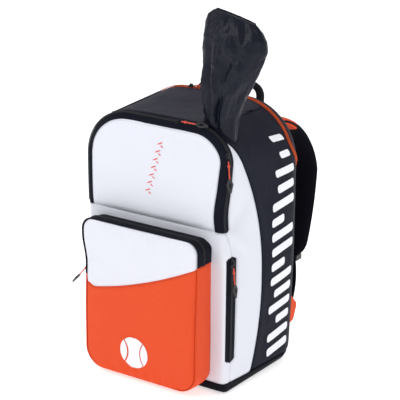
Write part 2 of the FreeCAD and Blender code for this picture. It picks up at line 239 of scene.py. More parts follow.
def mesh_cloth(name, colour, cell=0.0032):
    """Spacer mesh: small round holes in a soft knit, with painted shade darkening the sunk holes and painted highlight
    lightening the strands between them.
    """
    n = Nodes(name, colour, 0.85, shine=0.06)
    cells = n.add("ShaderNodeTexVoronoi", Scale=1.0 / cell, feature="DISTANCE_TO_EDGE")
    n.link(n.place, cells.inputs["Vector"])
    edge = n.ramp(cells.outputs["Distance"], 0.0, 1.0)
    # painted shade in the holes and painted highlight on the strands: the colour follows the cells' bump
    n.tint(edge, scaled(colour, 1.7), scaled(colour, 0.5))
    n.bump([(n.noise(20.0), 0.0008), (n.math("MULTIPLY", edge, -1.0), 0.0005)])
    return n.material


def moulded(name, colour, rough=0.42, metallic=0.0):
    """Moulded plastic or painted metal, with a fine grain and worn, lighter patches."""
    n = Nodes(name, colour, rough, metallic=metallic)
    wear = n.noise(120.0, 5.0)
    n.tint(wear, scaled(colour, 0.8), scaled(colour, 1.6))
    n.link(n.ramp(n.noise(260.0), rough - 0.1, rough + 0.12), n.shader.inputs["Roughness"])
    n.bump([(n.noise(900.0, 2.0), 0.00006)])
    return n.material


def nylon(name, colour):
    """Thin crinkled nylon: shiny folds and a ripstop grid, its colour lighter on the crinkles' ridges and darker in
    their hollows: painted highlight and painted shade.
    """
    n = Nodes(name, colour, 0.4, shine=0.19)
    crinkle = n.noise(34.0, 5.0, (1.0, 1.0, 0.4))
    # painted highlight on the crinkles' ridges and painted shade in their hollows: the colour follows the crinkle bump
    n.tint(crinkle, scaled(colour, 0.7), scaled(colour, 1.5))
    n.link(n.ramp(crinkle, 0.24, 0.38), n.shader.inputs["Roughness"])
    grid = n.math("MAXIMUM", n.waves("X", 0.005), n.waves("Z", 0.005))
    n.bump([(crinkle, 0.004), (grid, 0.00008), (n.waves("Z", 0.0007), 0.00004)])
    return n.material


def cord_cloth(name, colour):
    """Braided cord, its colour darker in the braid's grooves and lighter on its strands: painted shade and painted
    highlight.
    """
    n = Nodes(name, colour, 0.6, sheen=0.2)
    braid = n.add("ShaderNodeTexWave", wave_type="BANDS", bands_direction="DIAGONAL", Scale=0.314 / 0.0012)
    n.link(n.place, braid.inputs["Vector"])
    # painted shade in the braid's grooves and painted highlight on its strands: the colour follows the braid's bump
    n.tint(braid.outputs["Fac"], scaled(colour, 0.65), scaled(colour, 1.15))
    n.bump([(braid.outputs["Fac"], 0.0003)])
    return n.material


WHITE = (0.80, 0.815, 0.885)
ORANGE = (0.80, 0.082, 0.020)
BLACK = (0.0085, 0.0098, 0.0200)
CHARCOAL = (0.0165, 0.0150, 0.0310)

MATERIALS = {
    "white_fabric": fabric("white_fabric", WHITE, rough=0.7, mottle=0.015, crumple=0.0018, crumple_scale=20.0),
    "orange_fabric": fabric("orange_fabric", ORANGE, rough=0.68, mottle=0.05, crumple=0.001),
    "black_fabric": fabric("black_fabric", BLACK, rough=0.5, mottle=0.12, crumple=0.0024, crumple_scale=18.0,
                           sheen=0.0, shine=0.07),
    "charcoal_fabric": fabric("charcoal_fabric", CHARCOAL, rough=0.5, mottle=0.08, crumple=0.002,
                              sheen=0.0, shine=0.14),
    "base_fabric": fabric("base_fabric", (0.0055, 0.006, 0.010), thread=0.0022, weave=0.0004, rough=0.6, mottle=0.2,
                          sheen=0.0, shine=0.08),
    "black_zip_tape": fabric("black_zip_tape", (0.0070, 0.0082, 0.0155), thread=0.0014, weave=0.00025, rough=0.6,
                             sheen=0.0, shine=0.07),
    "orange_zip_tape": fabric("orange_zip_tape", (0.68, 0.105, 0.026), thread=0.0014, weave=0.00025, rough=0.6),
    "hood_nylon": nylon("hood_nylon", (0.0048, 0.0062, 0.0140)),
    "black_webbing": webbing("black_webbing", (0.0045, 0.0048, 0.0075)),
    "pad_mesh": mesh_cloth("pad_mesh", (0.0042, 0.0044, 0.0075)),
    "lining": fabric("lining", (0.2, 0.2, 0.23), thread=0.0007, rough=0.6),
    "stiffener": moulded("stiffener", (0.04, 0.04, 0.042), 0.5),
    "slider_metal": moulded("slider_metal", (0.02, 0.02, 0.023), 0.33, metallic=0.6),
    "pull_cord": cord_cloth("pull_cord", (0.83, 0.075, 0.03)),
    "pull_grip": moulded("pull_grip", (0.014, 0.014, 0.017), 0.45),
    "adjuster_plastic": moulded("adjuster_plastic", (0.014, 0.014, 0.016), 0.4),
    "white_print": fabric("white_print", (0.86, 0.87, 0.9), thread=0.0011, weave=0.00005, rough=0.5, mottle=0.02,
                          crumple=0.0006),
    "red_print": fabric("red_print", (0.80, 0.06, 0.04), thread=0.0011, weave=0.00005, rough=0.5, mottle=0.05),
    "white_thread": fabric("white_thread", (0.72, 0.74, 0.82), thread=0.0005, rough=0.6),
    "orange_thread": fabric("orange_thread", (0.62, 0.05, 0.015), thread=0.0005, rough=0.6),
    "black_thread": fabric("black_thread", (0.022, 0.024, 0.036), thread=0.0005, rough=0.5),
}

# ---------------------------------------------------------------- shape of the body

FRONT_Y = -0.120
EDGE_Y = -0.108
MAIN_ZIP_Y = 0.062
ROUND_Y = 0.070          # the back edge rounds off behind this depth
LOW_ZIP_Y = 0.0908       # the main zip runs down the sides here, round the back edge
BACK_EDGE_Y = 0.084
BACK_Y = 0.095
MID_Z = 0.230
BASE_LIP = 0.020
FLAP_SEAM_Z = 0.302
FLAP_ZIP_Y = -0.114
ZIP_TAPE = 0.0035        # width of each half of the main zip
ZIP_SPACE = 0.0003
FIXED_TAPE_Y = -0.106
SIDE_SEAM_Y = -0.104
SIDE_TAPE = 0.012
SIDE_ZIP = (0.058, 0.258)
TOP_LIMIT_X = 0.105
# foot, middle, top, left and right shoulder radius, radius of the lower corners
FRONT_PROFILE = (0.1485, 0.149, 0.485, 0.088, 0.062, 0.009)
REAR_PROFILE = (0.161, 0.167, 0.494, 0.108, 0.108, 0.026)
SWELL = 0.004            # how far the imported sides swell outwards
CROWN = 0.002            # rise of the top in its middle


def mix(a, b, t):
    return a + (b - a) * t


def clamp(t, low=0.0, high=1.0):
    return max(low, min(high, t))


def smooth(t):
    t = clamp(t)
    return t * t * (3 - 2 * t)


def edge_inset(y):
    """How far the outline draws in where the front and back edges round off."""
    if y < EDGE_Y:
        t = clamp((EDGE_Y - y) / (EDGE_Y - FRONT_Y))
        return 0.010 * (1 - math.sqrt(1 - t * t))
    t = clamp((y - ROUND_Y) / (BACK_Y - ROUND_Y))
    return 0.002 * smooth((y - MAIN_ZIP_Y) / 0.02) + 0.023 * (1 - math.sqrt(1 - t * t))


def profile(y, side):
    t = clamp((y - EDGE_Y) / (MAIN_ZIP_Y - EDGE_Y))
    foot, mid, top, r_left, r_right, r_low = [mix(a, b, t) for a, b in zip(FRONT_PROFILE, REAR_PROFILE)]
    cut = edge_inset(y)
    radius = r_left if side < 0 else r_right
    lift = 0.006 * clamp((EDGE_Y - y) / (EDGE_Y - FRONT_Y))
    lift += 0.008 * clamp((y - MAIN_ZIP_Y) / (BACK_EDGE_Y - MAIN_ZIP_Y))
    lift += 0.018 * clamp((y - BACK_EDGE_Y) / (BACK_Y - BACK_EDGE_Y)) ** 2
    return foot - cut, mid - cut, top - cut, radius - cut, r_low, lift


def swell(y, z, side):
    """How far the soft side stands out from the plain outline."""
    depth = math.sin(math.pi * clamp((y - FRONT_Y) / (BACK_Y - FRONT_Y)))
    height = math.sin(math.pi * clamp(z / 0.47)) ** 0.7
    rise = SWELL * depth * height
    above = clamp((z - FLAP_SEAM_Z + 0.03) / 0.20)
    if side < 0:
        return rise + 0.0045 * math.sqrt(math.sin(math.pi * above))
    near = 1 - smooth((y - EDGE_Y + 0.004) / 0.045)
    dent = -0.0075 * math.exp(-((z - 0.328) / 0.043) ** 2) + 0.003 * math.exp(-((z - 0.435) / 0.03) ** 2)
    return rise + dent * near


def side_x(y, z, side):
    """Distance of the body's side from its middle, at one depth and height."""
    foot, mid, top, radius, r_low, lift = profile(y, side)
    shoulder = top - radius
    x = mix(foot, mid, math.sin(math.pi / 2 * clamp(z / MID_Z)))
    low = lift + r_low
    if z < low:
        x -= r_low - math.sqrt(max(r_low ** 2 - (low - z) ** 2, 0))
    if z > shoulder:
        x = mid - radius + math.sqrt(max(radius ** 2 - (z - shoulder) ** 2, 0))
    return x + swell(y, z, side)


def rim(y, s, side, inset=0.0):
    """A point of the body's outline: s from 0 to 1 is the side, to 2 the shoulder, to 3 the top's middle."""
    foot, mid, top, radius, r_low, lift = profile(y, side)
    shoulder = top - radius
    if s <= 1:
        z = mix(BASE_LIP, shoulder, s)
        return Vector((side * (side_x(y, z, side) - inset), y, z))
    if s <= 2:
        angle = math.pi / 2 * (s - 1)
        x = mid - radius + (radius - inset) * math.cos(angle)
        z = shoulder + (radius - inset) * math.sin(angle)
        return Vector((side * (x + swell(y, z, side)), y, z))
    reach = (mid - radius) * (3 - s)
    crown = CROWN * (1 - ((reach) / (mid - radius)) ** 2)
    return Vector((side * reach, y, top - inset + crown))


def s_of_height(y, z, side):
    """The outline parameter of a height on the side or the shoulder."""
    top, radius = profile(y, side)[2:4]
    shoulder = top - radius
    if z <= shoulder:
        return (z - BASE_LIP) / (shoulder - BASE_LIP)
    return 1 + math.asin(clamp((z - shoulder) / radius)) / (math.pi / 2)


def circle_through(p, q, r):
    """Centre and radius of the circle through three plane points."""
    ax, ay, bx, by, cx, cy = *p, *q, *r
    d = 2 * (ax * (by - cy) + bx * (cy - ay) + cx * (ay - by))
    ux = ((ax * ax + ay * ay) * (by - cy) + (bx * bx + by * by) * (cy - ay) + (cx * cx + cy * cy) * (ay - by)) / d
    uy = ((ax * ax + ay * ay) * (cx - bx) + (bx * bx + by * by) * (ax - cx) + (cx * cx + cy * cy) * (bx - ax)) / d
    return (ux, uy), math.hypot(ax - ux, ay - uy)


def arc_at(points, t):
    """The point a share t of the way round the arc through three plane points."""
    (ux, uy), radius = circle_through(*points)
    angles = [math.atan2(y - uy, x - ux) for x, y in points]
    for i in (1, 2):
        while angles[i] - angles[i - 1] > math.pi:
            angles[i] -= 2 * math.pi
        while angles[i] - angles[i - 1] < -math.pi:
            angles[i] += 2 * math.pi
    angle = mix(angles[0], angles[2], t)
    return ux + radius * math.cos(angle), uy + radius * math.sin(angle)


def seam_depth(z):
    """Depth of the seam between the white side panel and the dark band, at one height."""
    low = ((-0.050, 0.0), (-0.027, 0.105), (-0.023, 0.200))
    high = ((-0.023, 0.200), (-0.058, 0.375), (-0.112, 0.470))
    (uy, uz), radius = circle_through(*(low if z < 0.2 else high))
    return uy + math.sqrt(max(radius ** 2 - (clamp(z, 0.0, 0.47) - uz) ** 2, 0))


ZIP_TURN_Z = (0.368, 0.436)


def zip_depth(z):
    """Depth of the main zip: level over the top, and along the back edge lower down."""
    t = clamp((z - ZIP_TURN_Z[0]) / (ZIP_TURN_Z[1] - ZIP_TURN_Z[0]))
    return mix(LOW_ZIP_Y, MAIN_ZIP_Y, 1 - (1 - smooth(t)) ** 1.3)


def on_rim(s, side, shift=0.0):
    """A point of the main zip's line, or of a line beside it."""
    y = MAIN_ZIP_Y
    for _ in range(4):
        y = zip_depth(rim(y, s, side).z)
    return rim(y + shift, s, side)


# ---------------------------------------------------------------- mesh helpers

BODY_MIDDLE = Vector((0.0, -0.02, 0.25))


def new_object(name, verts, faces, material, smooth_faces=True):
    mesh = bpy.data.meshes.new(name)
    mesh.from_pydata([tuple(v) for v in verts], [], faces)
    mesh.materials.append(MATERIALS[material])
    mesh.polygons.foreach_set("use_smooth", [smooth_faces] * len(mesh.polygons))
    mesh.update()
    obj = bpy.data.objects.new(name, mesh)
    SCENE.collection.objects.link(obj)
    return obj


def grid_faces(rows, columns, wrap=False):
    faces = []
    across = columns if wrap else columns - 1
    for i in range(rows - 1):
        for j in range(across):
            k = (j + 1) % columns
            faces.append((i * columns + j, i * columns + k, (i + 1) * columns + k, (i + 1) * columns + j))
    return faces


def grid_normals(rows):
    """Unit normals of a grid of points."""
    normals = []
    for i, row in enumerate(rows):
        line = []
        for j in range(len(row)):
            across = row[min(j + 1, len(row) - 1)] - row[max(j - 1, 0)]
            up = rows[min(i + 1, len(rows) - 1)][j] - rows[max(i - 1, 0)][j]
            n = across.cross(up)
            line.append(n.normalized() if n.length > 1e-12 else Vector((0, 0, 1)))
        normals.append(line)
    return normals


def running_lengths(points):
    total = [0.0]
    for a, b in zip(points, points[1:]):
        total.append(total[-1] + (b - a).length)
    return total


def creased(rows, bulge=0.0, seam=0.0011, seam_width=0.004, edges="lrbt", wrinkle=0.0, wrinkle_scale=(9, 9, 9),
            extra=None, middle=BODY_MIDDLE, along=None):
    """Moves a grid of points along its outward normals: a bulge, sunk seams at its edges, and wrinkles."""
    normals = [[along] * len(row) for row in rows] if along else grid_normals(rows)
    centre = rows[len(rows) // 2][len(rows[0]) // 2]
    facing = normals[len(rows) // 2][len(rows[0]) // 2]
    sign = 1 if facing.dot(centre - middle) > 0 else -1
    heights = [running_lengths([row[j] for row in rows]) for j in range(len(rows[0]))]
    result = []
    for i, row in enumerate(rows):
        widths = running_lengths(row)
        line = []
        for j, p in enumerate(row):
            gaps = {"l": widths[j], "r": widths[-1] - widths[j], "b": heights[j][i],
                    "t": heights[j][-1] - heights[j][i]}
            u = widths[j] / max(widths[-1], 1e-9)
            v = heights[j][i] / max(heights[j][-1], 1e-9)
            rise = bulge * math.sqrt(max(16 * u * (1 - u) * v * (1 - v), 0))
            near = min(gaps.values())
            if wrinkle:
                q = Vector((p.x * wrinkle_scale[0], p.y * wrinkle_scale[1], p.z * wrinkle_scale[2]))
                rise += wrinkle * noise.fractal(q, 0.8, 2.1, 3) * smooth(near / 0.025)
            for key in edges:
                rise -= seam * math.exp(-(gaps[key] / seam_width) ** 2)
            if extra is not None:
                rise += extra(p) * smooth(near / 0.012)
            line.append(p + normals[i][j] * sign * rise)
        result.append(line)
    return result


def thicken(obj, thickness, inward=True):
    """Gives a sheet a thickness, on the side away from the viewer."""
    modifier = obj.modifiers.new("thickness", "SOLIDIFY")
    modifier.thickness = thickness
    modifier.offset = -1 if inward else 1
    return obj


PIECES = {}


def panel(name, rows, material, middle=BODY_MIDDLE, thickness=0.003, wrap=False):
    """A sheet from a grid of points, facing away from the bag's middle."""
    verts = [p for row in rows for p in row]
    faces = grid_faces(len(rows), len(rows[0]), wrap)
    i, j = len(rows) // 2, len(rows[0]) // 2
    facing = grid_normals(rows)[i][j]
    if facing.dot(rows[i][j] - middle) < 0:
        faces = [tuple(reversed(f)) for f in faces]
    obj = new_object(name, verts, faces, material)
    PIECES[name] = obj
    if thickness:
        thicken(obj, thickness)
    return obj


def tree_of(*objects):
    """A search tree of some pieces' outer faces, to lay prints and trims on."""
    verts = []
    faces = []
    for obj in objects:
        base = len(verts)
        verts += [v.co.copy() for v in obj.data.vertices]
        faces += [[base + k for k in f.vertices] for f in obj.data.polygons]
    return BVHTree.FromPolygons(verts, faces)


def dropped(tree, start, direction, lift):
    """Where a ray meets a surface, a little above it, and the surface's outward normal."""
    hit, normal, _, _ = tree.ray_cast(start, direction)
    if hit is None:
        return None, None
    if normal.dot(direction) > 0:
        normal = -normal
    return hit + normal * lift, normal


def finish_piece(obj, body, nodes=()):
    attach(obj, body)
    if nodes:
        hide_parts(*nodes)
    return obj


def spaced(a, b, count):
    return [mix(a, b, i / (count - 1)) for i in range(count)]


def resampled(points, step):
    """Points spaced evenly along a line of points, with the directions there."""
    lengths = running_lengths(points)
    count = max(int(lengths[-1] / step), 1)
    result = []
    k = 0
    for i in range(count + 1):
        want = lengths[-1] * i / count
        while k < len(points) - 2 and lengths[k + 1] < want:
            k += 1
        t = (want - lengths[k]) / max(lengths[k + 1] - lengths[k], 1e-9)
        result.append((points[k].lerp(points[k + 1], t), (points[k + 1] - points[k]).normalized()))
    return result


def bars(name, places, size, material, taper=0.7):
    """Many small bars in one mesh; places are (middle, long axis, up axis), size is length, width, height."""
    length, width, height = size
    verts = []
    faces = []
    for centre, along, up in places:
        across = up.cross(along).normalized()
        base = len(verts)
        for lift, shrink in ((0.0, 1.0), (height, taper)):
            for a, b in ((-1, -1), (1, -1), (1, 1), (-1, 1)):
                verts.append(centre + along * (a * length / 2 * shrink) + across * (b * width / 2 * shrink)
                             + up * lift)
        faces += [tuple(base + k for k in f) for f in
                  ((3, 2, 1, 0), (4, 5, 6, 7), (0, 1, 5, 4), (1, 2, 6, 5), (2, 3, 7, 6), (3, 0, 4, 7))]
    return new_object(name, verts, faces, material, smooth_faces=False)


def stitches(name, line, normal_at, material, body, slot, length=0.0026, gap=0.0016):
    """A row of stitches along a line; normal_at gives the outward direction at a point."""
    places = []
    for p, along in resampled(line, length + gap):
        up = normal_at(p)
        places.append((p + up * 0.0002, along, up))
    return finish_piece(bars(name, places, (length, 0.0007, 0.0005), material), body)


def coil(name, line, normal_at, material, body, width=0.0046, pitch=0.0017, lift=0.0002):
    """A zip's coil: small teeth across a line."""
    places = []
    for index, (p, along) in enumerate(resampled(line, pitch)):
        up = normal_at(p)
        across = up.cross(along).normalized()
        lean = (across + along * (0.25 if index % 2 else -0.25)).normalized()
        places.append((p + up * lift, lean, up))
    return finish_piece(bars(name, places, (width, pitch * 0.62, 0.0013), material), body)


# ---------------------------------------------------------------- body panels


ZIP_END = 0.006
ZIP_ENDS = (SIDE_ZIP[0], SIDE_ZIP[0] + ZIP_END, SIDE_ZIP[1] - ZIP_END, SIDE_ZIP[1])


def front_edge_depth(z, side_of_zip=-1):
    """Where the front panel ends on each side: at the side zip's tape, or at the seam above and below it."""
    low, high = SIDE_ZIP
    above = clamp((z - high) / (FLAP_SEAM_Z - high))
    opening = SIDE_TAPE * smooth(min(z - low, high - z) / ZIP_END)
    return mix(SIDE_SEAM_Y, FLAP_ZIP_Y, above) + side_of_zip * opening


def side_front_depth(z):
    """Where the white side panel starts."""
    return mix(front_edge_depth(z, 1), FIXED_TAPE_Y, smooth((z - FLAP_SEAM_Z) / ZIP_END))


def heights(low, high, step, breaks=()):
    """Heights from low to high, with a row at each break."""
    stops = [low] + [b for b in breaks if low < b < high] + [high]
    result = [low]
    for a, b in zip(stops, stops[1:]):
        result += spaced(a, b, max(int((b - a) / step), 1) + 1)[1:]
    return result


def front_panel():
    rows = []
    for z in heights(BASE_LIP, FLAP_SEAM_Z, 0.005, ZIP_ENDS):
        y_end = front_edge_depth(z)
        depths = spaced(y_end, FRONT_Y, 9)
        left = [Vector((-side_x(y, z, -1), y, z)) for y in depths]
        right = [Vector((side_x(y, z, 1), y, z)) for y in reversed(depths)]
        across = [left[-1].lerp(right[0], t) for t in spaced(0, 1, 56)[1:-1]]
        rows.append(left + across + right)
    rows = creased(rows, edges="bt", wrinkle=0.0016, wrinkle_scale=(10, 10, 7), seam=0.0012)
    finish_piece(panel("front_panel_cloth", rows, "white_fabric"), "bag", ["front_panel"])


def side_folds(p):
    """Soft folds from the foot of the flap down to the top of the side zip."""
    rise = 0.0
    for z, slope, y, width, reach, height in ((0.270, -0.9, -0.094, 0.010, 0.022, -0.0030),
                                              (0.285, -0.9, -0.086, 0.012, 0.024, 0.0022),
                                              (0.330, 1.1, -0.085, 0.014, 0.030, -0.0022),
                                              (0.225, 0.7, -0.070, 0.016, 0.030, -0.0016)):
        rise += height * crease(p.z - z - slope * (p.y - y), width) * crease(p.y - y, reach)
    return rise


def side_panels():
    for side, word in ((-1, "left"), (1, "right")):
        rows = []
        for z in heights(BASE_LIP, 0.470, 0.005, (*ZIP_ENDS, FLAP_SEAM_Z)):
            y0 = side_front_depth(z)
            y1 = max(seam_depth(z), y0 + 0.0002)
            rows.append([Vector((side * side_x(y, z, side), y, z)) for y in spaced(y0, y1, 18)])
        dent = side_folds
        rows = creased(rows, bulge=0.003, wrinkle=0.0022, wrinkle_scale=(8, 9, 6), extra=dent)
        finish_piece(panel(word + "_side_cloth", rows, "white_fabric"), "bag",
                     [word + "_side_panel"])


def band_rows(side):
    """The dark band runs from the base up the side and over the shoulder."""
    rows = []
    for s in spaced(0, 2, 92):
        y_rear = on_rim(s, side).y - ZIP_TAPE
        y_front = FIXED_TAPE_Y
        for _ in range(3):
            z = rim(y_front, s, side).z
            y_front = seam_depth(z) if z < 0.47 else FIXED_TAPE_Y
            y_front = max(y_front, FIXED_TAPE_Y)
        row = [rim(y, s, side) for y in spaced(y_front, y_rear, 30)]
        if s > 1 and min(abs(p.x) for p in row) < TOP_LIMIT_X:
            row = [clip_to_limit(y, s, side) for y in spaced(y_front, y_rear, 30)]
            rows.append(row)
            if all(abs(abs(p.x) - TOP_LIMIT_X) < 1e-4 for p in row):
                break
            continue
        rows.append(row)
    return rows


def limit_s(y, side):
    """The outline parameter where the body's top meets the seam of the top panel."""
    _, mid, _, radius, _, _ = profile(y, side)
    return 1 + math.acos(clamp((TOP_LIMIT_X - mid + radius) / radius, -1, 1)) / (math.pi / 2)


def clip_to_limit(y, s, side):
    return rim(y, min(s, limit_s(y, side)), side)


def side_bands():
    for side, word in ((-1, "left"), (1, "right")):
        rows = creased(band_rows(side), wrinkle=0.0022, wrinkle_scale=(7, 7, 6), seam=0.0014)
        finish_piece(panel(word + "_band_cloth", rows, "black_fabric"), "bag",
                     [word + "_side_band"])


def top_panel():
    rows = []
    for y in spaced(FIXED_TAPE_Y, MAIN_ZIP_Y - ZIP_TAPE, 42):
        left = [rim(y, s, -1) for s in spaced(limit_s(y, -1), 2.999, 24)]
        right = [rim(y, s, 1) for s in spaced(limit_s(y, 1), 2.999, 24)]
        rows.append(left + right[::-1])
    sag = lambda p: -0.005 * math.exp(-((p.x + 0.01) / 0.07) ** 2) * math.exp(-((p.y + 0.03) / 0.06) ** 2)
    rows = creased(rows, wrinkle=0.0022, wrinkle_scale=(9, 7, 9), extra=sag)
    finish_piece(panel("top_cloth", rows, "charcoal_fabric"), "bag", ["top_panel"])


def outline_path(y, inset=0.0, z_low=FLAP_SEAM_Z, count=150):
    """The body's outline from a height on the left, over the top, to the same height on the right."""
    points = []
    for side in (-1, 1):
        start = s_of_height(y, z_low, side)
        half = [rim(y, s, side, inset) for s in spaced(start, 2.0, count // 2)]
        points.append(half)
    top = [points[0][-1].lerp(points[1][-1], t) for t in spaced(0, 1, count // 4)[1:-1]]
    return points[0] + top + points[1][::-1]


def zip_path(shift, low=0.032, count=130):
    """The main zip's line from the foot on the left, over the top, to the foot on the right."""
    halves = []
    for side in (-1, 1):
        start = s_of_height(BACK_EDGE_Y, low, side)
        halves.append([on_rim(s, side, shift) for s in spaced(start, 1, count // 2) + spaced(1, 2, count // 2)[1:]])
    top = [halves[0][-1].lerp(halves[1][-1], t) for t in spaced(0, 1, count // 3)[1:-1]]
    return halves[0] + top + halves[1][::-1]


def strip(name, edge_lines, material, body, nodes=(), thickness=0.0015, seam=0.0006):
    """A long strip from a few lines of points with equal counts."""
    rows = [list(line) for line in zip(*edge_lines)]
    rows = creased(rows, seam=seam, seam_width=0.0015, edges="lr") if seam else rows
    return finish_piece(panel(name, rows, material, thickness=thickness), body, nodes)


def outward_xz(p):
    """Outward direction in the XZ plane at a point of the body's rim."""
    side = 1 if p.x > 0 else -1
    _, mid, top, radius, _, _ = profile(p.y, side)
    shoulder = top - radius
    if p.z < shoulder:
        return Vector((side, 0, 0))
    reach = mid - radius
    if abs(p.x) < reach:
        return Vector((0, 0, 1))
    return Vector((p.x - side * reach, 0, p.z - shoulder)).normalized()


def flap_normal(p):
    return (outward_xz(p) * 0.75 + Vector((0, -0.65, 0))).normalized()


def body_tapes():
    paths = [outline_path(y) for y in spaced(FLAP_ZIP_Y + 0.0003, FIXED_TAPE_Y, 5)]
    strip("flap_tape_cloth", paths, "black_zip_tape", "bag", ["flap_zip_fixed"])
    strip("main_zip_front_cloth", [zip_path(shift) for shift in (-ZIP_TAPE, -ZIP_TAPE / 2, -ZIP_SPACE)],
          "orange_zip_tape", "bag", ["main_zip_front"])
    strip("main_zip_rear_cloth", [zip_path(shift) for shift in (ZIP_SPACE, ZIP_TAPE / 2, ZIP_TAPE)],
          "orange_zip_tape", "back_panel", ["main_zip_rear"])
    coil("main_zip_coil", zip_path(0.0), outward_xz, "orange_zip_tape", "back_panel",
         width=0.0045)


def base_panel():
    rows = []
    depths = spaced(FRONT_Y, -0.1, 7) + spaced(-0.096, 0.06, 26) + spaced(0.063, 0.0835, 8)
    depths += spaced(0.0845, BACK_Y, 8)
    for y in depths:
        lip = BASE_LIP if y < BACK_EDGE_Y else 0.0295
        foot, mid, top, radius, r_low, lift = profile(y, 1)
        line = []
        lip = max(lip, lift + 0.003)
        for side in (-1, 1):
            half = [Vector((side * side_x(y, z, side), y, z)) for z in spaced(lip, lift + 0.0001, 9)]
            inner = abs(half[-1].x)
            flat = [Vector((side * x, y, lift)) for x in spaced(inner, 0, 16)[1:]]
            half += flat
            line = half if side < 0 else line + half[::-1][1:]
        rows.append(line)
    front = [[Vector((p.x, FRONT_Y, mix(p.z, BASE_LIP, t))) for p in rows[0]] for t in (1.0, 0.66, 0.33)]
    rows = front + rows
    finish_piece(panel("base_cloth", rows, "base_fabric", thickness=0.003), "bag", ["base_panel"])


def side_zips():
    for side, word in ((-1, "left"), (1, "right")):
        edges = []
        low, high = SIDE_ZIP
        lines = []
        for y in spaced(SIDE_SEAM_Y - SIDE_TAPE, SIDE_SEAM_Y + SIDE_TAPE, 7):
            lines.append([Vector((side * (side_x(y, z, side) - 0.0008), y, z)) for z in spaced(low, high, 40)])
        strip(word + "_side_zip_cloth", lines, "black_zip_tape", "bag", [word + "_side_zip"])
        middle = [Vector((side * side_x(SIDE_SEAM_Y, z, side), SIDE_SEAM_Y, z))
                  for z in spaced(low + 0.004, high - 0.004, 30)]
        coil(word + "_side_coil", middle, lambda p: Vector((side, -0.1, 0)).normalized(), "pull_grip", "bag")


# ---------------------------------------------------------------- flap



def flap_border(p):
    """The tape shows wider along the flap's right edge than along its top and left."""
    return 0.0022 + 0.0050 * smooth((p.x - 0.05) / 0.08) * (1 - 0.45 * smooth((p.z - 0.32) / 0.15))


def border_path(share, z_low):
    """A line round the flap inside its edge, at a share of the border's width."""
    edge = outline_path(FRONT_Y, 0.0, z_low)
    points = []
    for p in edge:
        width = 0.0007 + (flap_border(p) - 0.0007) * share
        points.append(p - outward_xz(p) * width)
    return points


def lean(p):
    """The flap leans back a little towards its top and bellies forwards in the middle."""
    up = clamp((p.z - FLAP_SEAM_Z) / 0.18)
    across = clamp(abs(p.x) / 0.14)
    belly = 0.006 * math.sqrt(max(1 - across ** 2, 0)) * math.sin(math.pi * clamp(up * 0.9 + 0.05)) ** 0.7
    return Vector((p.x, p.y - belly, p.z))


def flap():
    z = FLAP_SEAM_Z + 0.0004
    starts = [s_of_height(FRONT_Y, z, side) for side in (-1, 1)]
    rows = []
    for t in spaced(0, 1, 44):
        ends = []
        for start, side in zip(starts, (-1, 1)):
            p = rim(FRONT_Y, mix(start, 2.0, t), side)
            ends.append(p - outward_xz(p) * flap_border(p))
        row = [ends[0].lerp(ends[1], u) for u in spaced(0, 1, 56)]
        crown = [Vector((0, 0, CROWN * (1 - (2 * u - 1) ** 2) * t ** 6)) for u in spaced(0, 1, 56)]
        rows.append([lean(p + c) for p, c in zip(row, crown)])
    rows = creased(rows, wrinkle=0.0014, wrinkle_scale=(8, 8, 8), seam=0.0014, along=Vector((0, -1, 0)))
    finish_piece(panel("flap_cloth", rows, "white_fabric"), "front_flap", ["flap_panel"])

    lines = [[lean(p) - Vector((0, 0.0005 * share, 0)) for p in border_path(share, z)]
             for share in (1.15, 0.8, 0.4, 0.0)]
    for y in spaced(FRONT_Y + 0.0003, FLAP_ZIP_Y - 0.0003, 5):
        lines.append(outline_path(y, 0.0, z))
    strip("flap_border_cloth", lines, "black_zip_tape", "front_flap", ["flap_zip_border"])
    coil("flap_coil", outline_path(FLAP_ZIP_Y, 0.0, z + 0.004), flap_normal, "pull_grip", "front_flap")


# ---------------------------------------------------------------- lower pocket

POCKET_HALF = 0.122
POCKET_MIDDLE_X = -0.003
POCKET_Y = -0.167
POCKET_Z = (0.008, 0.292)
POCKET_R = (0.038, 0.024)
POCKET_ZIP_Y = -0.148
POCKET_ZIP_ENDS = (0.185, 0.247)


def pocket_rim(s, side, inset=0.0):
    """The pocket's outline in XZ: s 0 to 1 is the lower corner, to 2 the side, to 3 the upper corner."""
    low, high = POCKET_Z
    r_low, r_high = POCKET_R
    if s <= 1:
        angle = math.pi / 2 * s
        x = POCKET_HALF - r_low + (r_low - inset) * math.sin(angle)
        z = low + r_low - (r_low - inset) * math.cos(angle)
    elif s <= 2:
        x = POCKET_HALF - inset
        z = mix(low + r_low, high - r_high, s - 1)
    else:
        angle = math.pi / 2 * (s - 2)
        x = POCKET_HALF - r_high + (r_high - inset) * math.cos(angle)
        z = high - r_high + (r_high - inset) * math.sin(angle)
    flare = 0.009 * smooth((z - 0.205) / 0.055) if side < 0 else 0.0
    return POCKET_MIDDLE_X + side * (x + flare), z


def pocket_lean(z):
    """The pocket gets shallower towards its top."""
    return 0.005 * smooth((z - 0.10) / 0.17)


def pocket_front(t, u):
    """A point of the pocket's front face: t up, u across."""
    s = 3 * t
    (x0, z0), (x1, z1) = pocket_rim(s, -1, 0.002), pocket_rim(s, 1, 0.002)
    x, z = mix(x0, x1, u), mix(z0, z1, u)
    across = math.sqrt(max(1 - (2 * u - 1) ** 2, 0))
    up = math.sin(math.pi * clamp((z - POCKET_Z[0]) / (POCKET_Z[1] - POCKET_Z[0]))) ** 0.6
    edge = 0.003 * (1 - clamp(min(u, 1 - u) / 0.012)) + 0.003 * (1 - clamp(min(t, 1 - t) / 0.02))
    return Vector((x, POCKET_Y + 0.001 + pocket_lean(z) - 0.006 * across * up + edge, z))


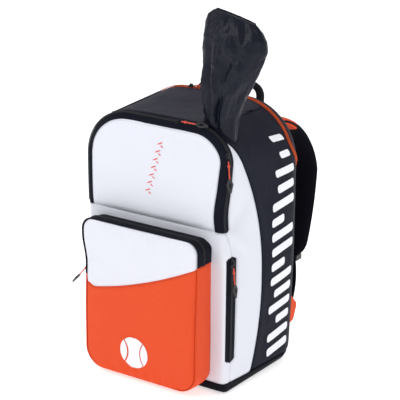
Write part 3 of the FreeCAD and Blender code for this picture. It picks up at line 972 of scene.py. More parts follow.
def colour_height(x):
    """Height of the seam between the white top and the orange bottom of the pocket."""
    along = clamp(x + 0.100, 0, 0.25)
    return 0.1665 + 0.212 * along + 0.669 * along ** 2 + 0.005 * smooth((-0.103 - x) / 0.014)


def pocket_front_rows(below):
    columns = 52
    stack = 90
    table = [[pocket_front(t, u) for u in spaced(0, 1, columns)] for t in spaced(0, 1, stack)]
    lines = []
    for j in range(columns):
        column = [row[j] for row in table]
        k = next(i for i, p in enumerate(column) if p.z > colour_height(p.x))
        a, b = column[k - 1], column[k]
        cut = a.lerp(b, (colour_height(a.x) - a.z) / max(b.z - a.z, 1e-9))
        part = column[:k] + [cut] if below else [cut] + column[k:]
        lines.append([p for p, _ in resampled_count(part, 56 if below else 30)])
    return [list(row) for row in zip(*lines)]


def resampled_count(points, count):
    total = running_lengths(points)[-1]
    made = resampled(points, total / (count - 1) * 1.0000001)
    while len(made) < count:
        made = resampled(points, total / (count - 1) * 0.9999)
    return made[:count]


def pocket_depth(share, z):
    """Depth of a line round the pocket: share 0 is its front edge, 1 is where it meets the body."""
    return mix(POCKET_Y + 0.002 + pocket_lean(z), FRONT_Y + 0.001, share)


def pocket_point(x, z, share):
    drop = 0.005 * share * smooth((z - 0.27) / 0.02)
    return Vector((x, pocket_depth(share, z), z - drop))


def pocket_path(share, s_from, s_to, count=60):
    """A line round the pocket over the top, from a height on the left to one on the right."""
    left = [Vector((*pocket_rim(s, -1), 0)) for s in spaced(s_from, 3, count)]
    right = [Vector((*pocket_rim(s, 1), 0)) for s in spaced(s_to, 3, count)]
    top = [left[-1].lerp(right[-1], t) for t in spaced(0, 1, count // 2)[1:-1]]
    return [pocket_point(p.x, p.y, share) for p in left + top + right[::-1]]


def pocket_low_path(share, s_left, s_right, count=60):
    """The same under the bottom."""
    left = [Vector((*pocket_rim(s, -1), 0)) for s in spaced(s_left, 0, count)]
    right = [Vector((*pocket_rim(s, 1), 0)) for s in spaced(s_right, 0, count)]
    low = [left[-1].lerp(right[-1], t) for t in spaced(0, 1, count // 2)[1:-1]]
    return [pocket_point(p.x, p.y, share) for p in left + low + right[::-1]]


def pocket_s(z):
    low, high = POCKET_Z
    return 1 + (z - low - POCKET_R[0]) / (high - POCKET_R[1] - low - POCKET_R[0])


def pocket_normal(p):
    low, high = POCKET_Z
    r = POCKET_R[1]
    side = 1 if p.x > POCKET_MIDDLE_X else -1
    if p.z < high - r:
        return Vector((side, 0, 0))
    if abs(p.x - POCKET_MIDDLE_X) < POCKET_HALF - r:
        return Vector((0, 0, 1))
    return Vector((p.x - POCKET_MIDDLE_X - side * (POCKET_HALF - r), 0, p.z - high + r)).normalized()


TREES = {}


def folds(obj):
    """Keeps a search tree of a pocket piece's faces, then applies its modifiers and bakes its place into its mesh."""
    TREES[obj.name] = tree_of(obj)
    apply_modifiers(obj)
    obj.parent = None
    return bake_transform(obj)


def apply_modifiers(obj):
    graph = bpy.context.evaluated_depsgraph_get()
    mesh = bpy.data.meshes.new_from_object(obj.evaluated_get(graph))
    obj.modifiers.clear()
    obj.data = mesh


def pucker(p):
    """Gathers where the bottom corners of the pocket are sewn."""
    low = math.exp(-((p.z - 0.012) / 0.022) ** 2)
    return 0.0018 * low * math.sin(p.x * 190 + 3 * math.sin(p.x * 31))


def pocket():
    middle = Vector((0, -0.1, 0.15))
    lower = creased(pocket_front_rows(True), wrinkle=0.0012, wrinkle_scale=(9, 9, 9), extra=pucker, middle=middle)
    orange = panel("pocket_orange_cloth", lower, "orange_fabric", middle, 0.0025)
    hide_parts("pocket_front_lower")
    folds(orange)
    dents = lambda p: 0.0012 * math.exp(-((p.z - 0.276) / 0.02) ** 2) * math.sin(p.x * 150 + 2 * math.sin(p.x * 40))
    upper = creased(pocket_front_rows(False), wrinkle=0.0015, wrinkle_scale=(9, 9, 9), extra=dents, middle=middle)
    white = panel("pocket_white_cloth", upper, "white_fabric", middle, 0.0025)
    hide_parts("pocket_front_upper", "pocket_flap_panel")
    folds(white)

    s_left, s_right = [pocket_s(z) for z in POCKET_ZIP_ENDS]
    zip_share = (POCKET_ZIP_Y - POCKET_Y) / (FRONT_Y - POCKET_Y)
    front_edge = [pocket_path(share, s_left, s_right) for share in spaced(0, zip_share - 0.006, 6)]
    band = panel("pocket_front_band", [list(r) for r in zip(*front_edge)], "black_zip_tape", middle, 0.002)
    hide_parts("pocket_flap_zip")
    folds(band)
    rear = [pocket_path(share, s_left, s_right) for share in spaced(zip_share + 0.006, 1, 6)]
    finish_piece(panel("pocket_rear_band", [list(r) for r in zip(*rear)], "black_zip_tape", middle, 0.002), "bag",
                 ["pocket_zip_fixed"])
    coil("pocket_coil", pocket_path(zip_share, s_left, s_right), pocket_normal, "pull_grip", "bag")
    gusset = [pocket_low_path(share, s_left, s_right) for share in spaced(0, 1, 12)]
    rows = creased([list(r) for r in zip(*gusset)], wrinkle=0.0016, wrinkle_scale=(12, 20, 9), edges="lr",
                   middle=middle)
    finish_piece(panel("pocket_gusset_cloth", rows, "orange_fabric", middle, 0.002), "bag",
                 ["pocket_gusset"])


# ---------------------------------------------------------------- hood

HOLE_MIDDLE = (0.108, -0.0815)
HOLE_HALF = (0.0215, 0.0175)
# height, middle x, half width, half depth, sideways slope in degrees, from the mouth to the tip
HOOD_SECTIONS = [
    (0.465, 0.1070, 0.0265, 0.0225, 0),
    (0.490, 0.1100, 0.0310, 0.0240, 0),
    (0.520, 0.1150, 0.0375, 0.0265, 0),
    (0.560, 0.1240, 0.0470, 0.0285, 2),
    (0.600, 0.1320, 0.0535, 0.0290, 5),
    (0.626, 0.1365, 0.0580, 0.0280, 8),
    (0.645, 0.1385, 0.0560, 0.0230, 10),
    (0.659, 0.1380, 0.0490, 0.0150, 12),
    (0.6685, 0.1370, 0.0400, 0.0075, 13),
    (0.6715, 0.1365, 0.0350, 0.0050, 13),
]
HOOD_Y = -0.082


def surface_height(x, y):
    """Height of the body's upper surface over a point."""
    _, mid, top, radius, _, _ = profile(y, x)
    reach = abs(x) - (mid - radius)
    return top if reach < 0 else top - radius + math.sqrt(max(radius ** 2 - reach ** 2, 0))


def cut_hood_hole(name):
    """Opens the panel under the hood along an oval."""
    mesh = PIECES[name].data

    def share(v):
        if v.co.z < 0.40:
            return 9.0
        return math.hypot((v.co.x - HOLE_MIDDLE[0]) / HOLE_HALF[0], (v.co.y - HOLE_MIDDLE[1]) / HOLE_HALF[1])

    inside = {v.index for v in mesh.vertices if share(v) < 1}
    faces = [list(f.vertices) for f in mesh.polygons]
    for face in faces:
        if not all(k in inside for k in face):
            for k in face:
                v = mesh.vertices[k]
                if k in inside and share(v) > 0.2:
                    r = share(v)
                    v.co.x = HOLE_MIDDLE[0] + (v.co.x - HOLE_MIDDLE[0]) / r
                    v.co.y = HOLE_MIDDLE[1] + (v.co.y - HOLE_MIDDLE[1]) / r
    kept = [f for f in faces if not all(k in inside for k in f)]
    verts = [v.co.copy() for v in mesh.vertices]
    material = mesh.materials[0]
    mesh.clear_geometry()
    mesh.from_pydata([tuple(v) for v in verts], [], kept)
    mesh.materials.clear()
    mesh.materials.append(material)
    mesh.polygons.foreach_set("use_smooth", [True] * len(mesh.polygons))
    mesh.update()


def tube(name, line, radius, material, closed=False, sides=10, flat=1.0):
    """A tube along a line of points; flat below 1 makes it oval."""
    count = len(line)
    verts = []
    up = Vector((0, 0, 1))
    for i, p in enumerate(line):
        ahead = line[(i + 1) % count] if closed or i < count - 1 else p
        behind = line[i - 1] if closed or i > 0 else p
        along = (ahead - behind).normalized()
        if abs(along.dot(up)) > 0.95:
            up = Vector((0, 1, 0)) if abs(along.y) < 0.8 else Vector((1, 0, 0))
        a = along.cross(up).normalized()
        b = a.cross(along).normalized()
        up = b
        for k in range(sides):
            angle = 2 * math.pi * k / sides
            verts.append(p + a * radius * math.cos(angle) + b * radius * flat * math.sin(angle))
    faces = []
    for i in range(count if closed else count - 1):
        n = (i + 1) % count
        for k in range(sides):
            m = (k + 1) % sides
            faces.append((i * sides + k, i * sides + m, n * sides + m, n * sides + k))
    if not closed:
        faces.append(tuple(range(sides))[::-1])
        faces.append(tuple((count - 1) * sides + k for k in range(sides)))
    return new_object(name, verts, faces, material)


def hole_line(grow=1.0, lift=0.0, count=72):
    line = []
    for k in range(count):
        angle = 2 * math.pi * k / count
        x = HOLE_MIDDLE[0] + HOLE_HALF[0] * grow * math.cos(angle)
        y = HOLE_MIDDLE[1] + HOLE_HALF[1] * grow * math.sin(angle)
        line.append(Vector((x, y, surface_height(x, y) + lift)))
    return line


def section_at(t):
    """The hood's section at a share t of its height, between the listed sections."""
    low, high = HOOD_SECTIONS[0][0], HOOD_SECTIONS[-1][0]
    z = mix(low, high, t)
    for a, b in zip(HOOD_SECTIONS, HOOD_SECTIONS[1:]):
        if z <= b[0] + 1e-9:
            share = (z - a[0]) / (b[0] - a[0])
            return [mix(p, q, share) for p, q in zip(a, b)]
    return list(HOOD_SECTIONS[-1])


def crease(value, width):
    return math.exp(-(value / width) ** 2)


def ridged(q):
    """Sharp-edged wrinkles between 0 and 1."""
    return noise.ridged_multi_fractal(q, 1.0, 2.2, 4, 0.9, 2.0) / 2.2


def hood_crumple(angle, t):
    """How far the nylon stands out or in: long folds that gather towards the mouth, and sharp crinkles."""
    x, y = math.cos(angle), math.sin(angle)
    rise = 0.0
    # angle of the fold at the mouth and at the tip, width, height
    for low, high, width, height in ((-2.05, -2.35, 0.20, -0.0080), (-1.75, -1.95, 0.17, 0.0065),
                                     (-1.45, -1.35, 0.16, -0.0055), (-1.10, -0.75, 0.26, 0.0035),
                                     (-0.55, -0.25, 0.22, -0.0030), (-2.45, -2.95, 0.22, 0.0045),
                                     (0.9, 1.3, 0.25, -0.005), (2.1, 1.7, 0.25, -0.004)):
        middle = mix(low, high, t) + 0.10 * math.sin(5.5 * t + 3 * low)
        gap = (angle - middle + math.pi) % (2 * math.pi) - math.pi
        rise += height * crease(gap, width * (0.7 + 0.7 * t)) * (1 - 0.7 * smooth((t - 0.5) / 0.4))
    # flat facets between sharp creases
    q = Vector((x * 1.3, y * 1.3, t * 2.3))
    warp = noise.noise_vector(q * 1.6) * 0.35
    near, _ = noise.voronoi(q * 1.5 + warp)
    quiet = 1 - 0.55 * smooth((math.cos(angle) - 0.45) / 0.4)
    rise += 0.0085 * (near[1] - near[0] - 0.3) * quiet
    rise += 0.0075 * (ridged(Vector((x * 2.4, y * 2.4, t * 3.5)) + warp * 1.5 + Vector((7, 3, 1))) - 0.5) * quiet
    rise += 0.0008 * noise.fractal(Vector((x * 7, y * 7, t * 13)), 0.9, 2.1, 3)
    return rise


def hood():
    rows = []
    around, up = 132, 120
    angles = [2 * math.pi * k / around for k in range(around)]
    mouth = []
    for angle in angles:
        x = HOLE_MIDDLE[0] + 0.0020 + 0.0315 * math.cos(angle)
        y = HOOD_Y + 0.0225 * math.sin(angle)
        mouth.append(Vector((x, y, surface_height(x, y) + 0.0012)))
    for t in spaced(0, 1, up):
        z, middle, half, depth, slope = section_at(t)
        tilt = math.tan(math.radians(slope))
        row = []
        near_tip = 1 - 0.85 * smooth((t - 0.93) / 0.07)
        for k, angle in enumerate(angles):
            bulk = hood_crumple(angle, t) * (0.35 + 0.65 * smooth(t / 0.2)) * near_tip
            square = 1 + 0.10 * math.cos(2 * angle) ** 2 * smooth((t - 0.3) / 0.4)
            dx = math.cos(angle) * (half * square + bulk)
            dy = math.sin(angle) * (depth + bulk)
            p = Vector((middle + dx, HOOD_Y + dy, z - tilt * dx))
            start = mouth[k]
            blend = smooth(t / 0.16)
            row.append(start.lerp(p, blend) if blend < 1 else p)
        rows.append(row)
    verts = [p for row in rows for p in row]
    faces = grid_faces(up, around, wrap=True)
    cap = [(up - 1) * around + k for k in range(around)]
    faces.append(tuple(cap))
    obj = new_object("hood_cloth", verts, faces, "hood_nylon")
    thicken(obj, 0.0006)
    finish_piece(obj, "hood", ["hood"])
    hem = [p + Vector((0, 0, 0.0004)) for p in mouth]
    finish_piece(tube("hood_hem", hem, 0.0014, "black_fabric", closed=True), "hood")
    seam = [rows[-1][k] + Vector((0, 0, 0.0002)) for k in range(0, around // 2 + 1, 2)]
    finish_piece(tube("hood_tip_seam", seam, 0.0012, "hood_nylon"), "hood")
    for name in ("top_cloth", "right_band_cloth"):
        cut_hood_hole(name)
    finish_piece(tube("hood_hole_binding", hole_line(1.02, 0.0002), 0.0016, "black_fabric", closed=True), "bag")


# ---------------------------------------------------------------- back panel


def back_panel():
    lines = [zip_path(shift) for shift in (ZIP_TAPE + ZIP_SPACE,)]
    gusset = []
    for share in spaced(0, 1, 9):
        line = []
        for p in zip_path(0.0):
            side = 1 if p.x > 0 else -1
            y0 = p.y + ZIP_TAPE + ZIP_SPACE
            y = mix(y0, BACK_Y - 0.0006, share)
            line.append(slide_back(p, y, side))
        gusset.append(line)
    strip("back_gusset_cloth", gusset, "black_fabric", "back_panel", ["back_gusset"],
          thickness=0.002)
    rows = []
    y = BACK_Y - 0.0003
    low = 0.032
    starts = [s_of_height(y, low, side) for side in (-1, 1)]
    for t in spaced(0, 1, 66):
        ends = [rim(y, mix(start, 2.0, t), side, 0.0) for start, side in zip(starts, (-1, 1))]
        row = [ends[0].lerp(ends[1], u) for u in spaced(0, 1, 50)]
        rows.append([Vector((p.x, y + 0.0015 * math.sin(math.pi * u), p.z)) for p, u in zip(row, spaced(0, 1, 50))])
    rows = creased(rows, wrinkle=0.0012, wrinkle_scale=(8, 8, 8), seam=0.001)
    finish_piece(panel("back_face_cloth", rows, "black_fabric", thickness=0.003), "back_panel",
                 ["back_face"])
    foot = [Vector((x, BACK_Y - 0.001, 0.0315)) for x in spaced(-0.128, 0.128, 40)]
    finish_piece(tube("back_foot_binding", foot, 0.0016, "black_fabric"), "back_panel")


def slide_back(p, y, side):
    """The point of the rim at another depth, as far round as p."""
    s = s_from_point(p, side)
    return rim(y, s, side)


def s_from_point(p, side):
    _, mid, top, radius, _, _ = profile(p.y, side)
    if abs(p.x) < mid - radius:
        return 3 - abs(p.x) / (mid - radius)
    return s_of_height(p.y, p.z, side)


def pillow(name, x, z, base_y, height, corner, material, body, nodes, channels=(), step=0.004):
    """A padded panel sewn to the back: crowned, with pulled-in edges and sewn channels."""
    columns = max(int((x[1] - x[0]) / step), 8)
    stack = max(int((z[1] - z[0]) / step), 8)
    half = ((x[1] - x[0]) / 2, (z[1] - z[0]) / 2)
    middle = ((x[0] + x[1]) / 2, (z[0] + z[1]) / 2)
    rows = []
    for v in spaced(-1, 1, stack):
        row = []
        for u in spaced(-1, 1, columns):
            px, pz = u * half[0], v * half[1]
            # bring the square grid onto a rounded rectangle
            over_x, over_z = abs(px) - (half[0] - corner), abs(pz) - (half[1] - corner)
            if over_x > 0 and over_z > 0:
                far = max(over_x, over_z) / math.hypot(over_x, over_z)
                px = math.copysign(half[0] - corner + over_x * far, px)
                pz = math.copysign(half[1] - corner + over_z * far, pz)
                gap = corner - math.hypot(abs(px) - half[0] + corner, abs(pz) - half[1] + corner)
            else:
                gap = min(half[0] - abs(px), half[1] - abs(pz))
            rise = height * (1 - math.exp(-max(gap, 0) / 0.0075)) + 0.0006
            rise -= 0.35 * height * smooth((abs(u) - 0.6) / 0.5) * 0.2
            rise += 0.0006 * noise.fractal(Vector((px * 22, pz * 22, x[0] * 5)), 0.9, 2.0, 3)
            for where in channels:
                rise -= 0.55 * height * crease(pz + middle[1] - where, 0.0045) * smooth(gap / 0.008)
            row.append(Vector((middle[0] + px, base_y + rise, middle[1] + pz)))
        rows.append(row)
    front = [p for row in rows for p in row]
    faces = grid_faces(len(rows), columns)
    back = [Vector((p.x, base_y + 0.0001, p.z)) for p in front]
    count = len(front)
    all_faces = [tuple(reversed(f)) for f in faces] + [tuple(k + count for k in f) for f in faces]
    edge = [k for k in range(columns)] + [r * columns + columns - 1 for r in range(1, len(rows))]
    edge += [(len(rows) - 1) * columns + k for k in range(columns - 2, -1, -1)]
    edge += [r * columns for r in range(len(rows) - 2, 0, -1)]
    for a, b in zip(edge, edge[1:] + edge[:1]):
        all_faces.append((a, b, b + count, a + count))
    obj = new_object(name, front + back, all_faces, material)
    finish_piece(obj, body, nodes)
    rim_line = [front[k] + Vector((0, 0.0004, 0)) for k in edge]
    finish_piece(tube(name + "_binding", rim_line, 0.0017, "black_webbing", closed=True, sides=8), body)
    return obj


def back_pads():
    channels = [0.124 + 0.300 * k / 6 for k in range(1, 6)]
    for name, x in (("right", (0.016, 0.100)), ("left", (-0.100, -0.016))):
        pillow(name + "_back_cushion", x, (0.124, 0.424), BACK_Y + 0.0012, 0.0122, 0.024, "pad_mesh", "back_panel",
               [name + "_back_pad"], channels)
    pillow("lumbar_cushion", (-0.104, 0.104), (0.050, 0.112), BACK_Y + 0.0012, 0.0122, 0.024, "pad_mesh",
           "back_panel", ["lumbar_pad"])
    for side, word in ((-1, "left"), (1, "right")):
        x = (0.048, 0.110) if side > 0 else (-0.110, -0.048)
        pillow(word + "_patch_cloth", x, (0.430, 0.464), BACK_Y + 0.0010, 0.0026, 0.007, "orange_fabric",
               "back_panel", [word + "_strap_patch"], step=0.003)


# ---------------------------------------------------------------- straps and handle

STRAP_OUTER = (((0.107, 0.453), (0.177, 0.413), (0.202, 0.338)), ((0.202, 0.338), (0.181, 0.258), (0.163, 0.178)))
STRAP_INNER = (((0.107, 0.440), (0.167, 0.401), (0.190, 0.338)), ((0.190, 0.338), (0.169, 0.260), (0.151, 0.180)))
STRAP_EDGE_IN = ((0.052, 0.480), (0.077, 0.345), (0.088, 0.160))
STRAP_EDGE_OUT = ((0.108, 0.480), (0.140, 0.335), (0.138, 0.160))
WEBBING_LINE = ((0.155, 0.176), (0.145, 0.1345), (0.121, 0.1))
WEBBING_X = (0.112, 0.1295)
ORANGE_SHARE = 0.16


def edge_x(points, z):
    """X on the arc through three (x, z) points, at a height."""
    (ux, uz), radius = circle_through(*points)
    reach = math.sqrt(max(radius ** 2 - (z - uz) ** 2, 0))
    return ux + reach if points[1][0] > ux else ux - reach


def strap_line(arcs, t):
    return arc_at(arcs[0], t * 2) if t < 0.5 else arc_at(arcs[1], t * 2 - 1)


def strap_frame(t, side):
    """Middle, half width vector and outward half thickness vector of the strap at a share of its length."""
    outer, inner = strap_line(STRAP_OUTER, t), strap_line(STRAP_INNER, t)
    z = (outer[1] + inner[1]) / 2
    x0, x1 = edge_x(STRAP_EDGE_IN, z), edge_x(STRAP_EDGE_OUT, z)
    end = clamp((1 - t) * 0.31 / 0.028)
    round_off = math.sqrt(1 - (1 - end) ** 2)
    middle = Vector((side * (x0 + x1) / 2, (outer[0] + inner[0]) / 2, z))
    half = Vector((side * (x1 - x0) / 2 * mix(0.35, 1.0, round_off), 0, 0))
    out = Vector((0, (outer[0] - inner[0]) / 2, (outer[1] - inner[1]) / 2))
    return middle, half, out


def strap_pad(word, side):
    rows = []
    around = 48
    for t in spaced(0.0, 0.9985, 96):
        middle, half, out = strap_frame(t, side)
        row = []
        for k in range(around):
            angle = 2 * math.pi * k / around
            c, d = math.cos(angle), math.sin(angle)
            u = math.copysign(abs(c) ** 0.42, c)
            w = math.copysign(abs(d) ** 0.62, d)
            quilt = 1 - 0.10 * crease(u, 0.10) - 0.08 * crease(abs(u) - 0.8, 0.05)
            ripple = 0.05 * noise.fractal(Vector((u * 2, t * 14, side + w)), 0.9, 2.0, 2)
            row.append(middle + half * u + out * w * (quilt + ripple))
        rows.append(row)
    for part, share, material in (("top", (0, ORANGE_SHARE), "orange_fabric"), ("pad", (ORANGE_SHARE, 1), "pad_mesh")):
        first, last = int(share[0] * 95), int(share[1] * 95)
        piece = rows[first:last + 1]
        verts = [p for row in piece for p in row]
        faces = grid_faces(len(piece), around, wrap=True)
        faces.append(tuple(range(around))[::-1])
        faces.append(tuple((len(piece) - 1) * around + k for k in range(around)))
        obj = new_object(word + "_strap_" + part + "_cloth", verts, faces, material)
        if side > 0:
            obj.data.flip_normals()
        nodes = [word + "_strap_pad"] if part == "pad" else []
        finish_piece(obj, word + "_strap", nodes)
    edge = []
    for t in spaced(0.0, 0.995, 90):
        middle, half, _ = strap_frame(t, side)
        edge.append((middle - half * 1.005, middle + half * 1.005))
    line = [a for a, _ in edge] + [b for _, b in reversed(edge)]
    finish_piece(tube(word + "_strap_binding", line, 0.0022, "black_webbing", sides=8), word + "_strap")


def flat_strap(name, line, across, thick, material, body, nodes=(), ribs=5):
    """Webbing along a line: across gives the half width vector at each point."""
    rows = []
    columns = ribs * 4 + 1
    for i, p in enumerate(line):
        ahead, behind = line[min(i + 1, len(line) - 1)], line[max(i - 1, 0)]
        along = (ahead - behind).normalized()
        half = across[i]
        up = half.cross(along).normalized() * thick / 2
        ring = []
        for k in range(columns):
            u = -1 + 2 * k / (columns - 1)
            ridge = 1 - 0.16 * (0.5 + 0.5 * math.cos(math.pi * u * ribs * 1.0))
            ring.append(p + half * u + up * ridge)
        for k in range(columns):
            u = 1 - 2 * k / (columns - 1)
            ring.append(p + half * u - up)
        rows.append(ring)
    around = 2 * columns
    verts = [p for row in rows for p in row]
    faces = grid_faces(len(rows), around, wrap=True)
    faces.append(tuple(range(around))[::-1])
    faces.append(tuple((len(rows) - 1) * around + k for k in range(around)))
    return finish_piece(new_object(name, verts, faces, material), body, nodes)


def straps():
    for side, word in ((-1, "left"), (1, "right")):
        body = word + "_strap"
        strap_pad(word, side)
        line = []
        across = []
        for t in spaced(0, 1, 40):
            y, z = arc_at(WEBBING_LINE, t)
            x = mix(*WEBBING_X, (WEBBING_LINE[0][1] - z) / (WEBBING_LINE[0][1] - WEBBING_LINE[2][1]))
            line.append(Vector((side * x, y, z)))
            across.append(Vector((side * 0.011, 0, 0)))
        flat_strap(word + "_webbing_cloth", line, across, 0.0018, "black_webbing", body,
                   [word + "_strap_webbing"])
        tail = [Vector((side * mix(0.112, 0.106, t), 0.1595 - 0.006 * t, 0.176 - 0.046 * t))
                for t in spaced(0, 1, 24)]
        flat_strap(word + "_webbing_tail", tail, [Vector((side * 0.011, 0.0008, 0))] * 24, 0.0016,
                   "black_webbing", body)


HANDLE_Y = 0.108
HANDLE_HALF = 0.0670
HANDLE_Z = (0.468, 0.5025)
HANDLE_BEND = 0.0225


def handle_place(x, z):
    """The soft loop leans back and a little to the right."""
    up = smooth((z - HANDLE_Z[0]) / (HANDLE_Z[1] - HANDLE_Z[0]))
    shift = 0.012 * up * clamp(0.5 - x / 0.1)
    return Vector((x + shift, HANDLE_Y + 0.006 * up, z))


def grab_handle():
    """A rolled and padded webbing loop over the top of the back panel."""
    foot, top = HANDLE_Z
    half, bend = HANDLE_HALF, HANDLE_BEND
    line = [(-half, z) for z in spaced(foot, top - bend, 8)]
    for angle in spaced(math.pi, math.pi / 2, 14)[1:]:
        line.append((-half + bend + bend * math.cos(angle), top - bend + bend * math.sin(angle)))
    line += [(x, top) for x in spaced(-half + bend, half - bend, 24)[1:-1]]
    for angle in spaced(math.pi / 2, 0, 14):
        line.append((half - bend + bend * math.cos(angle), top - bend + bend * math.sin(angle)))
    line += [(half, z) for z in spaced(top - bend, foot, 8)[1:]]
    path = [handle_place(*p) for p in line]
    grip = tube("grab_handle_loop", path, 0.0060, "black_webbing", sides=28, flat=1.7)
    finish_piece(grip, "grab_handle", ["grab_handle"])
    seam = [p + Vector((0, -0.0100, 0)) for p in path]
    finish_piece(tube("grab_handle_seam", seam, 0.0010, "black_webbing", sides=8), "grab_handle")
    for x in (-half, half):
        box_stitch("handle_stitch_" + ("left" if x < 0 else "right"), Vector((x, HANDLE_Y, foot + 0.006)))


def box_stitch(name, centre):
    places = []
    side = 1 if centre.x > 0 else -1
    for k in range(5):
        offset = -0.006 + 0.003 * k
        places.append((centre + Vector((side * 0.0058, offset, 0)), Vector((0, 0, 1)), Vector((side, 0, 0))))
    finish_piece(bars(name, places, (0.006, 0.0007, 0.0004), "black_thread"), "grab_handle")


# ---------------------------------------------------------------- stitching


def laid_stitches(name, tree, line, toward, material, body, length=0.0026, gap=0.0016):
    """A row of stitches dropped onto a cloth; toward gives the direction into the cloth at a point."""
    places = []
    for p, _ in resampled(line, length + gap):
        inward = toward(p)
        hit, normal = dropped(tree, p - inward * 0.03, inward, 0.0001)
        if hit is None or (hit - p).length > 0.02:
            continue
        places.append((hit, normal))
    made = []
    for (a, up), (b, _) in zip(places, places[1:]):
        along = b - a
        if 1e-5 < along.length < 2.5 * (length + gap):
            along = (along - up * along.dot(up)).normalized()
            made.append((a, along, up))
    return finish_piece(bars(name, made, (length, 0.0008, 0.0005), material), body)


def straight_in(p):
    return Vector((0, 1, 0))


def side_in(p):
    return -outward_xz(p)


def all_stitches():
    flap_tree = tree_of(PIECES["flap_cloth"])
    edge = border_path(1.0, FLAP_SEAM_Z + 0.006)
    line = [lean(p - outward_xz(p) * 0.0032) for p in edge]
    laid_stitches("flap_stitch", flap_tree, line, straight_in, "white_thread", "front_flap")
    seam = [Vector((x, POCKET_Y, colour_height(x) - 0.0035)) for x in spaced(-0.116, 0.100, 60)]
    laid_stitches("pocket_seam_stitch", TREES["pocket_orange_cloth"], seam, straight_in, "orange_thread", "bag")
    for side, word in ((-1, "left"), (1, "right")):
        tree = tree_of(PIECES[word + "_band_cloth"])
        rows = band_rows(side)
        front = [row[0].lerp(row[1], 0.9) for row in rows]
        rear = [row[-1].lerp(row[-2], 0.9) for row in rows]
        for part, points in (("front", front), ("rear", rear)):
            laid_stitches(word + "_band_stitch_" + part, tree, points, side_in, "black_thread", "bag")
        tree = tree_of(PIECES[word + "_side_cloth"])
        points = [Vector((side * side_x(seam_depth(z) - 0.004, z, side), seam_depth(z) - 0.004, z))
                  for z in spaced(0.030, 0.44, 90)]
        laid_stitches(word + "_side_stitch", tree, points, side_in, "white_thread", "bag")
    tree = tree_of(PIECES["top_cloth"])
    for part, y in (("front", FIXED_TAPE_Y + 0.004), ("rear", MAIN_ZIP_Y - ZIP_TAPE - 0.004)):
        half = limit_s(y, -1), limit_s(y, 1)
        points = [rim(y, s, -1) for s in spaced(half[0], 2.99, 24)] + [rim(y, s, 1) for s in spaced(2.99, half[1], 24)]
        laid_stitches("top_stitch_" + part, tree, points, side_in, "black_thread", "bag")
    tree = tree_of(PIECES["front_panel_cloth"])
    for part, z in (("low", BASE_LIP + 0.004), ("high", FLAP_SEAM_Z - 0.004)):
        points = [Vector((x, FRONT_Y, z)) for x in spaced(-0.135, 0.135, 60)]
        laid_stitches("front_stitch_" + part, tree, points, straight_in, "white_thread", "bag")


# ---------------------------------------------------------------- prints

PRINT_LIFT = 0.0006


def patch(name, columns, material, body, slot):
    """A thin print from columns of points, None where the surface was missed."""
    rows = [c for c in columns if all(p is not None for p in c)]
    if len(rows) < 2:
        return None
    verts = [p for row in rows for p in row]
    obj = new_object(name, verts, grid_faces(len(rows), len(rows[0])), material)
    return finish_piece(obj, body)


def merged(name, pieces, material, body, facing=None):
    """Several grids of points as one print."""
    verts = []
    faces = []
    for rows in pieces:
        if any(p is None for row in rows for p in row):
            continue
        base = len(verts)
        verts += [p for row in rows for p in row]
        for f in grid_faces(len(rows), len(rows[0])):
            f = tuple(base + k for k in f)
            a, b, c = verts[f[0]], verts[f[1]], verts[f[2]]
            out = (b - a).cross(c - b)
            if out.dot((a + c) / 2 - BODY_MIDDLE) < 0:
                f = tuple(reversed(f))
            faces.append(f)
    return finish_piece(new_object(name, verts, faces, material), body)


# how far each bar of the side print reaches from its rear end, in steps along the band
SIDE_BARS = (1.0, 1.0, 0.62, 1.0, 0.8, 1.0, 0.62, 1.0, 1.0, 0.55, 1.0, 0.8, 1.0, 0.62, 1.0)
BAR_LENGTH = 0.062
BAR_HEIGHT = 0.0155
BAR_RANGE = (0.050, 0.438)


def band_point(tree, y, z, side):
    """The band's surface at a depth and height, found from outside."""
    _, mid, top, radius, _, _ = profile(y, side)
    shoulder = top - radius
    target = Vector((side * (mid - radius), y, min(z, shoulder)))
    if z <= shoulder:
        start = Vector((side * 0.3, y, z))
        target = Vector((0, y, z))
    else:
        rise = math.asin(clamp((z - shoulder) / radius))
        start = target + Vector((side * math.cos(rise), 0, math.sin(rise))) * 0.3
    return dropped(tree, start, (target - start).normalized(), PRINT_LIFT)[0]


def side_prints():
    for side, word in ((-1, "left"), (1, "right")):
        tree = tree_of(PIECES[word + "_band_cloth"])
        pieces = []
        low, high = BAR_RANGE
        for index, reach in enumerate(SIDE_BARS):
            z_middle = mix(low, high, index / (len(SIDE_BARS) - 1))
            rear = min(zip_depth(z_middle), 0.080) - 0.016
            turn = 0.05 + 0.85 * smooth((z_middle - 0.30) / 0.17)
            length = BAR_LENGTH * reach
            lead = 0.0 if index % 3 else BAR_LENGTH * (1 - reach)
            grid = []
            for v in spaced(-1, 1, 7):
                ends = 0.0035 * (1 - math.sqrt(max(1 - abs(v) ** 3, 0)))
                row = []
                for u in spaced(lead + ends, lead + length - ends, 16):
                    along, up = -u, v * BAR_HEIGHT / 2 - 0.18 * u
                    y = rear + along * math.cos(turn) - up * math.sin(turn) * 0.6
                    z = z_middle + up * math.cos(turn) + u * math.sin(turn) * 0.22
                    row.append(band_point(tree, y, z, side))
                grid.append(row)
            pieces.append(grid)
        merged(word + "_side_bars", pieces, "white_print", "bag")


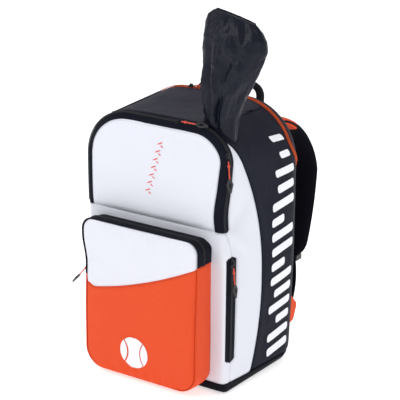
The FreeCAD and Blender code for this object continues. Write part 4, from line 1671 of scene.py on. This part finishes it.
def ball_print():
    """A plain ball with its two curved seams."""
    tree = TREES["pocket_orange_cloth"]
    centre, r = (-0.012, 0.060), 0.030
    arc_middle, arc_r, gap = 1.55 * r, 1.12 * r, 0.0022

    def seam(z):
        return arc_middle - math.sqrt(arc_r ** 2 - z ** 2)

    pieces = []
    for low, high in ((None, -1), (-1, 1), (1, None)):
        limit = 0.97 * r
        grid = []
        for z in spaced(-limit, limit, 34):
            edge = math.sqrt(r ** 2 - z ** 2)
            inner = min(seam(z), edge)
            a = -edge if low is None else low * inner + gap / 2
            b = edge if high is None else high * inner - gap / 2
            a, b = (a, max(a, b - gap / 2 if low is None else b))
            row = []
            for x in spaced(a, b, 12):
                start = Vector((centre[0] + x, -0.3, centre[1] + z))
                row.append(dropped(tree, start, Vector((0, 1, 0)), PRINT_LIFT)[0])
            grid.append(row)
        pieces.append(grid)
    merged("ball_print", pieces, "white_print", "bag")


def flap_print():
    """A column of small slanted dashes."""
    tree = tree_of(PIECES["flap_cloth"])
    pieces = []
    for k in range(7):
        x, z = mix(0.013, -0.013, k / 6), mix(0.442, 0.354, k / 6)
        for part, (lean_x, size) in enumerate(((0.45, 0.0105), (-0.5, 0.0055))):
            grid = []
            for v in spaced(-1, 1, 3):
                row = []
                for u in spaced(-1, 1, 5):
                    px = x + u * size / 2 + 0.004 * part
                    pz = z + u * lean_x * size / 2 + v * 0.0011 * (1 - 0.4 * abs(u)) - 0.005 * part
                    row.append(dropped(tree, Vector((px, -0.3, pz)), Vector((0, 1, 0)), PRINT_LIFT)[0])
                grid.append(row)
            pieces.append(grid)
    merged("flap_dashes", pieces, "red_print", "front_flap")


# ---------------------------------------------------------------- assembly

make_camera()
make_studio()
front_panel()
side_panels()
side_bands()
top_panel()
body_tapes()
base_panel()
side_zips()
flap()
pocket()
hood()
back_panel()
back_pads()
straps()
grab_handle()
side_prints()
ball_print()
flap_print()
all_stitches()

for node in frame["nodes"].values():
    slot_name = next(s["material_slot"] for s in frame["record"]["subparts"] if s["node"] == node.name)
    node.data.materials.clear()
    node.data.materials.append(MATERIALS[slot_name])
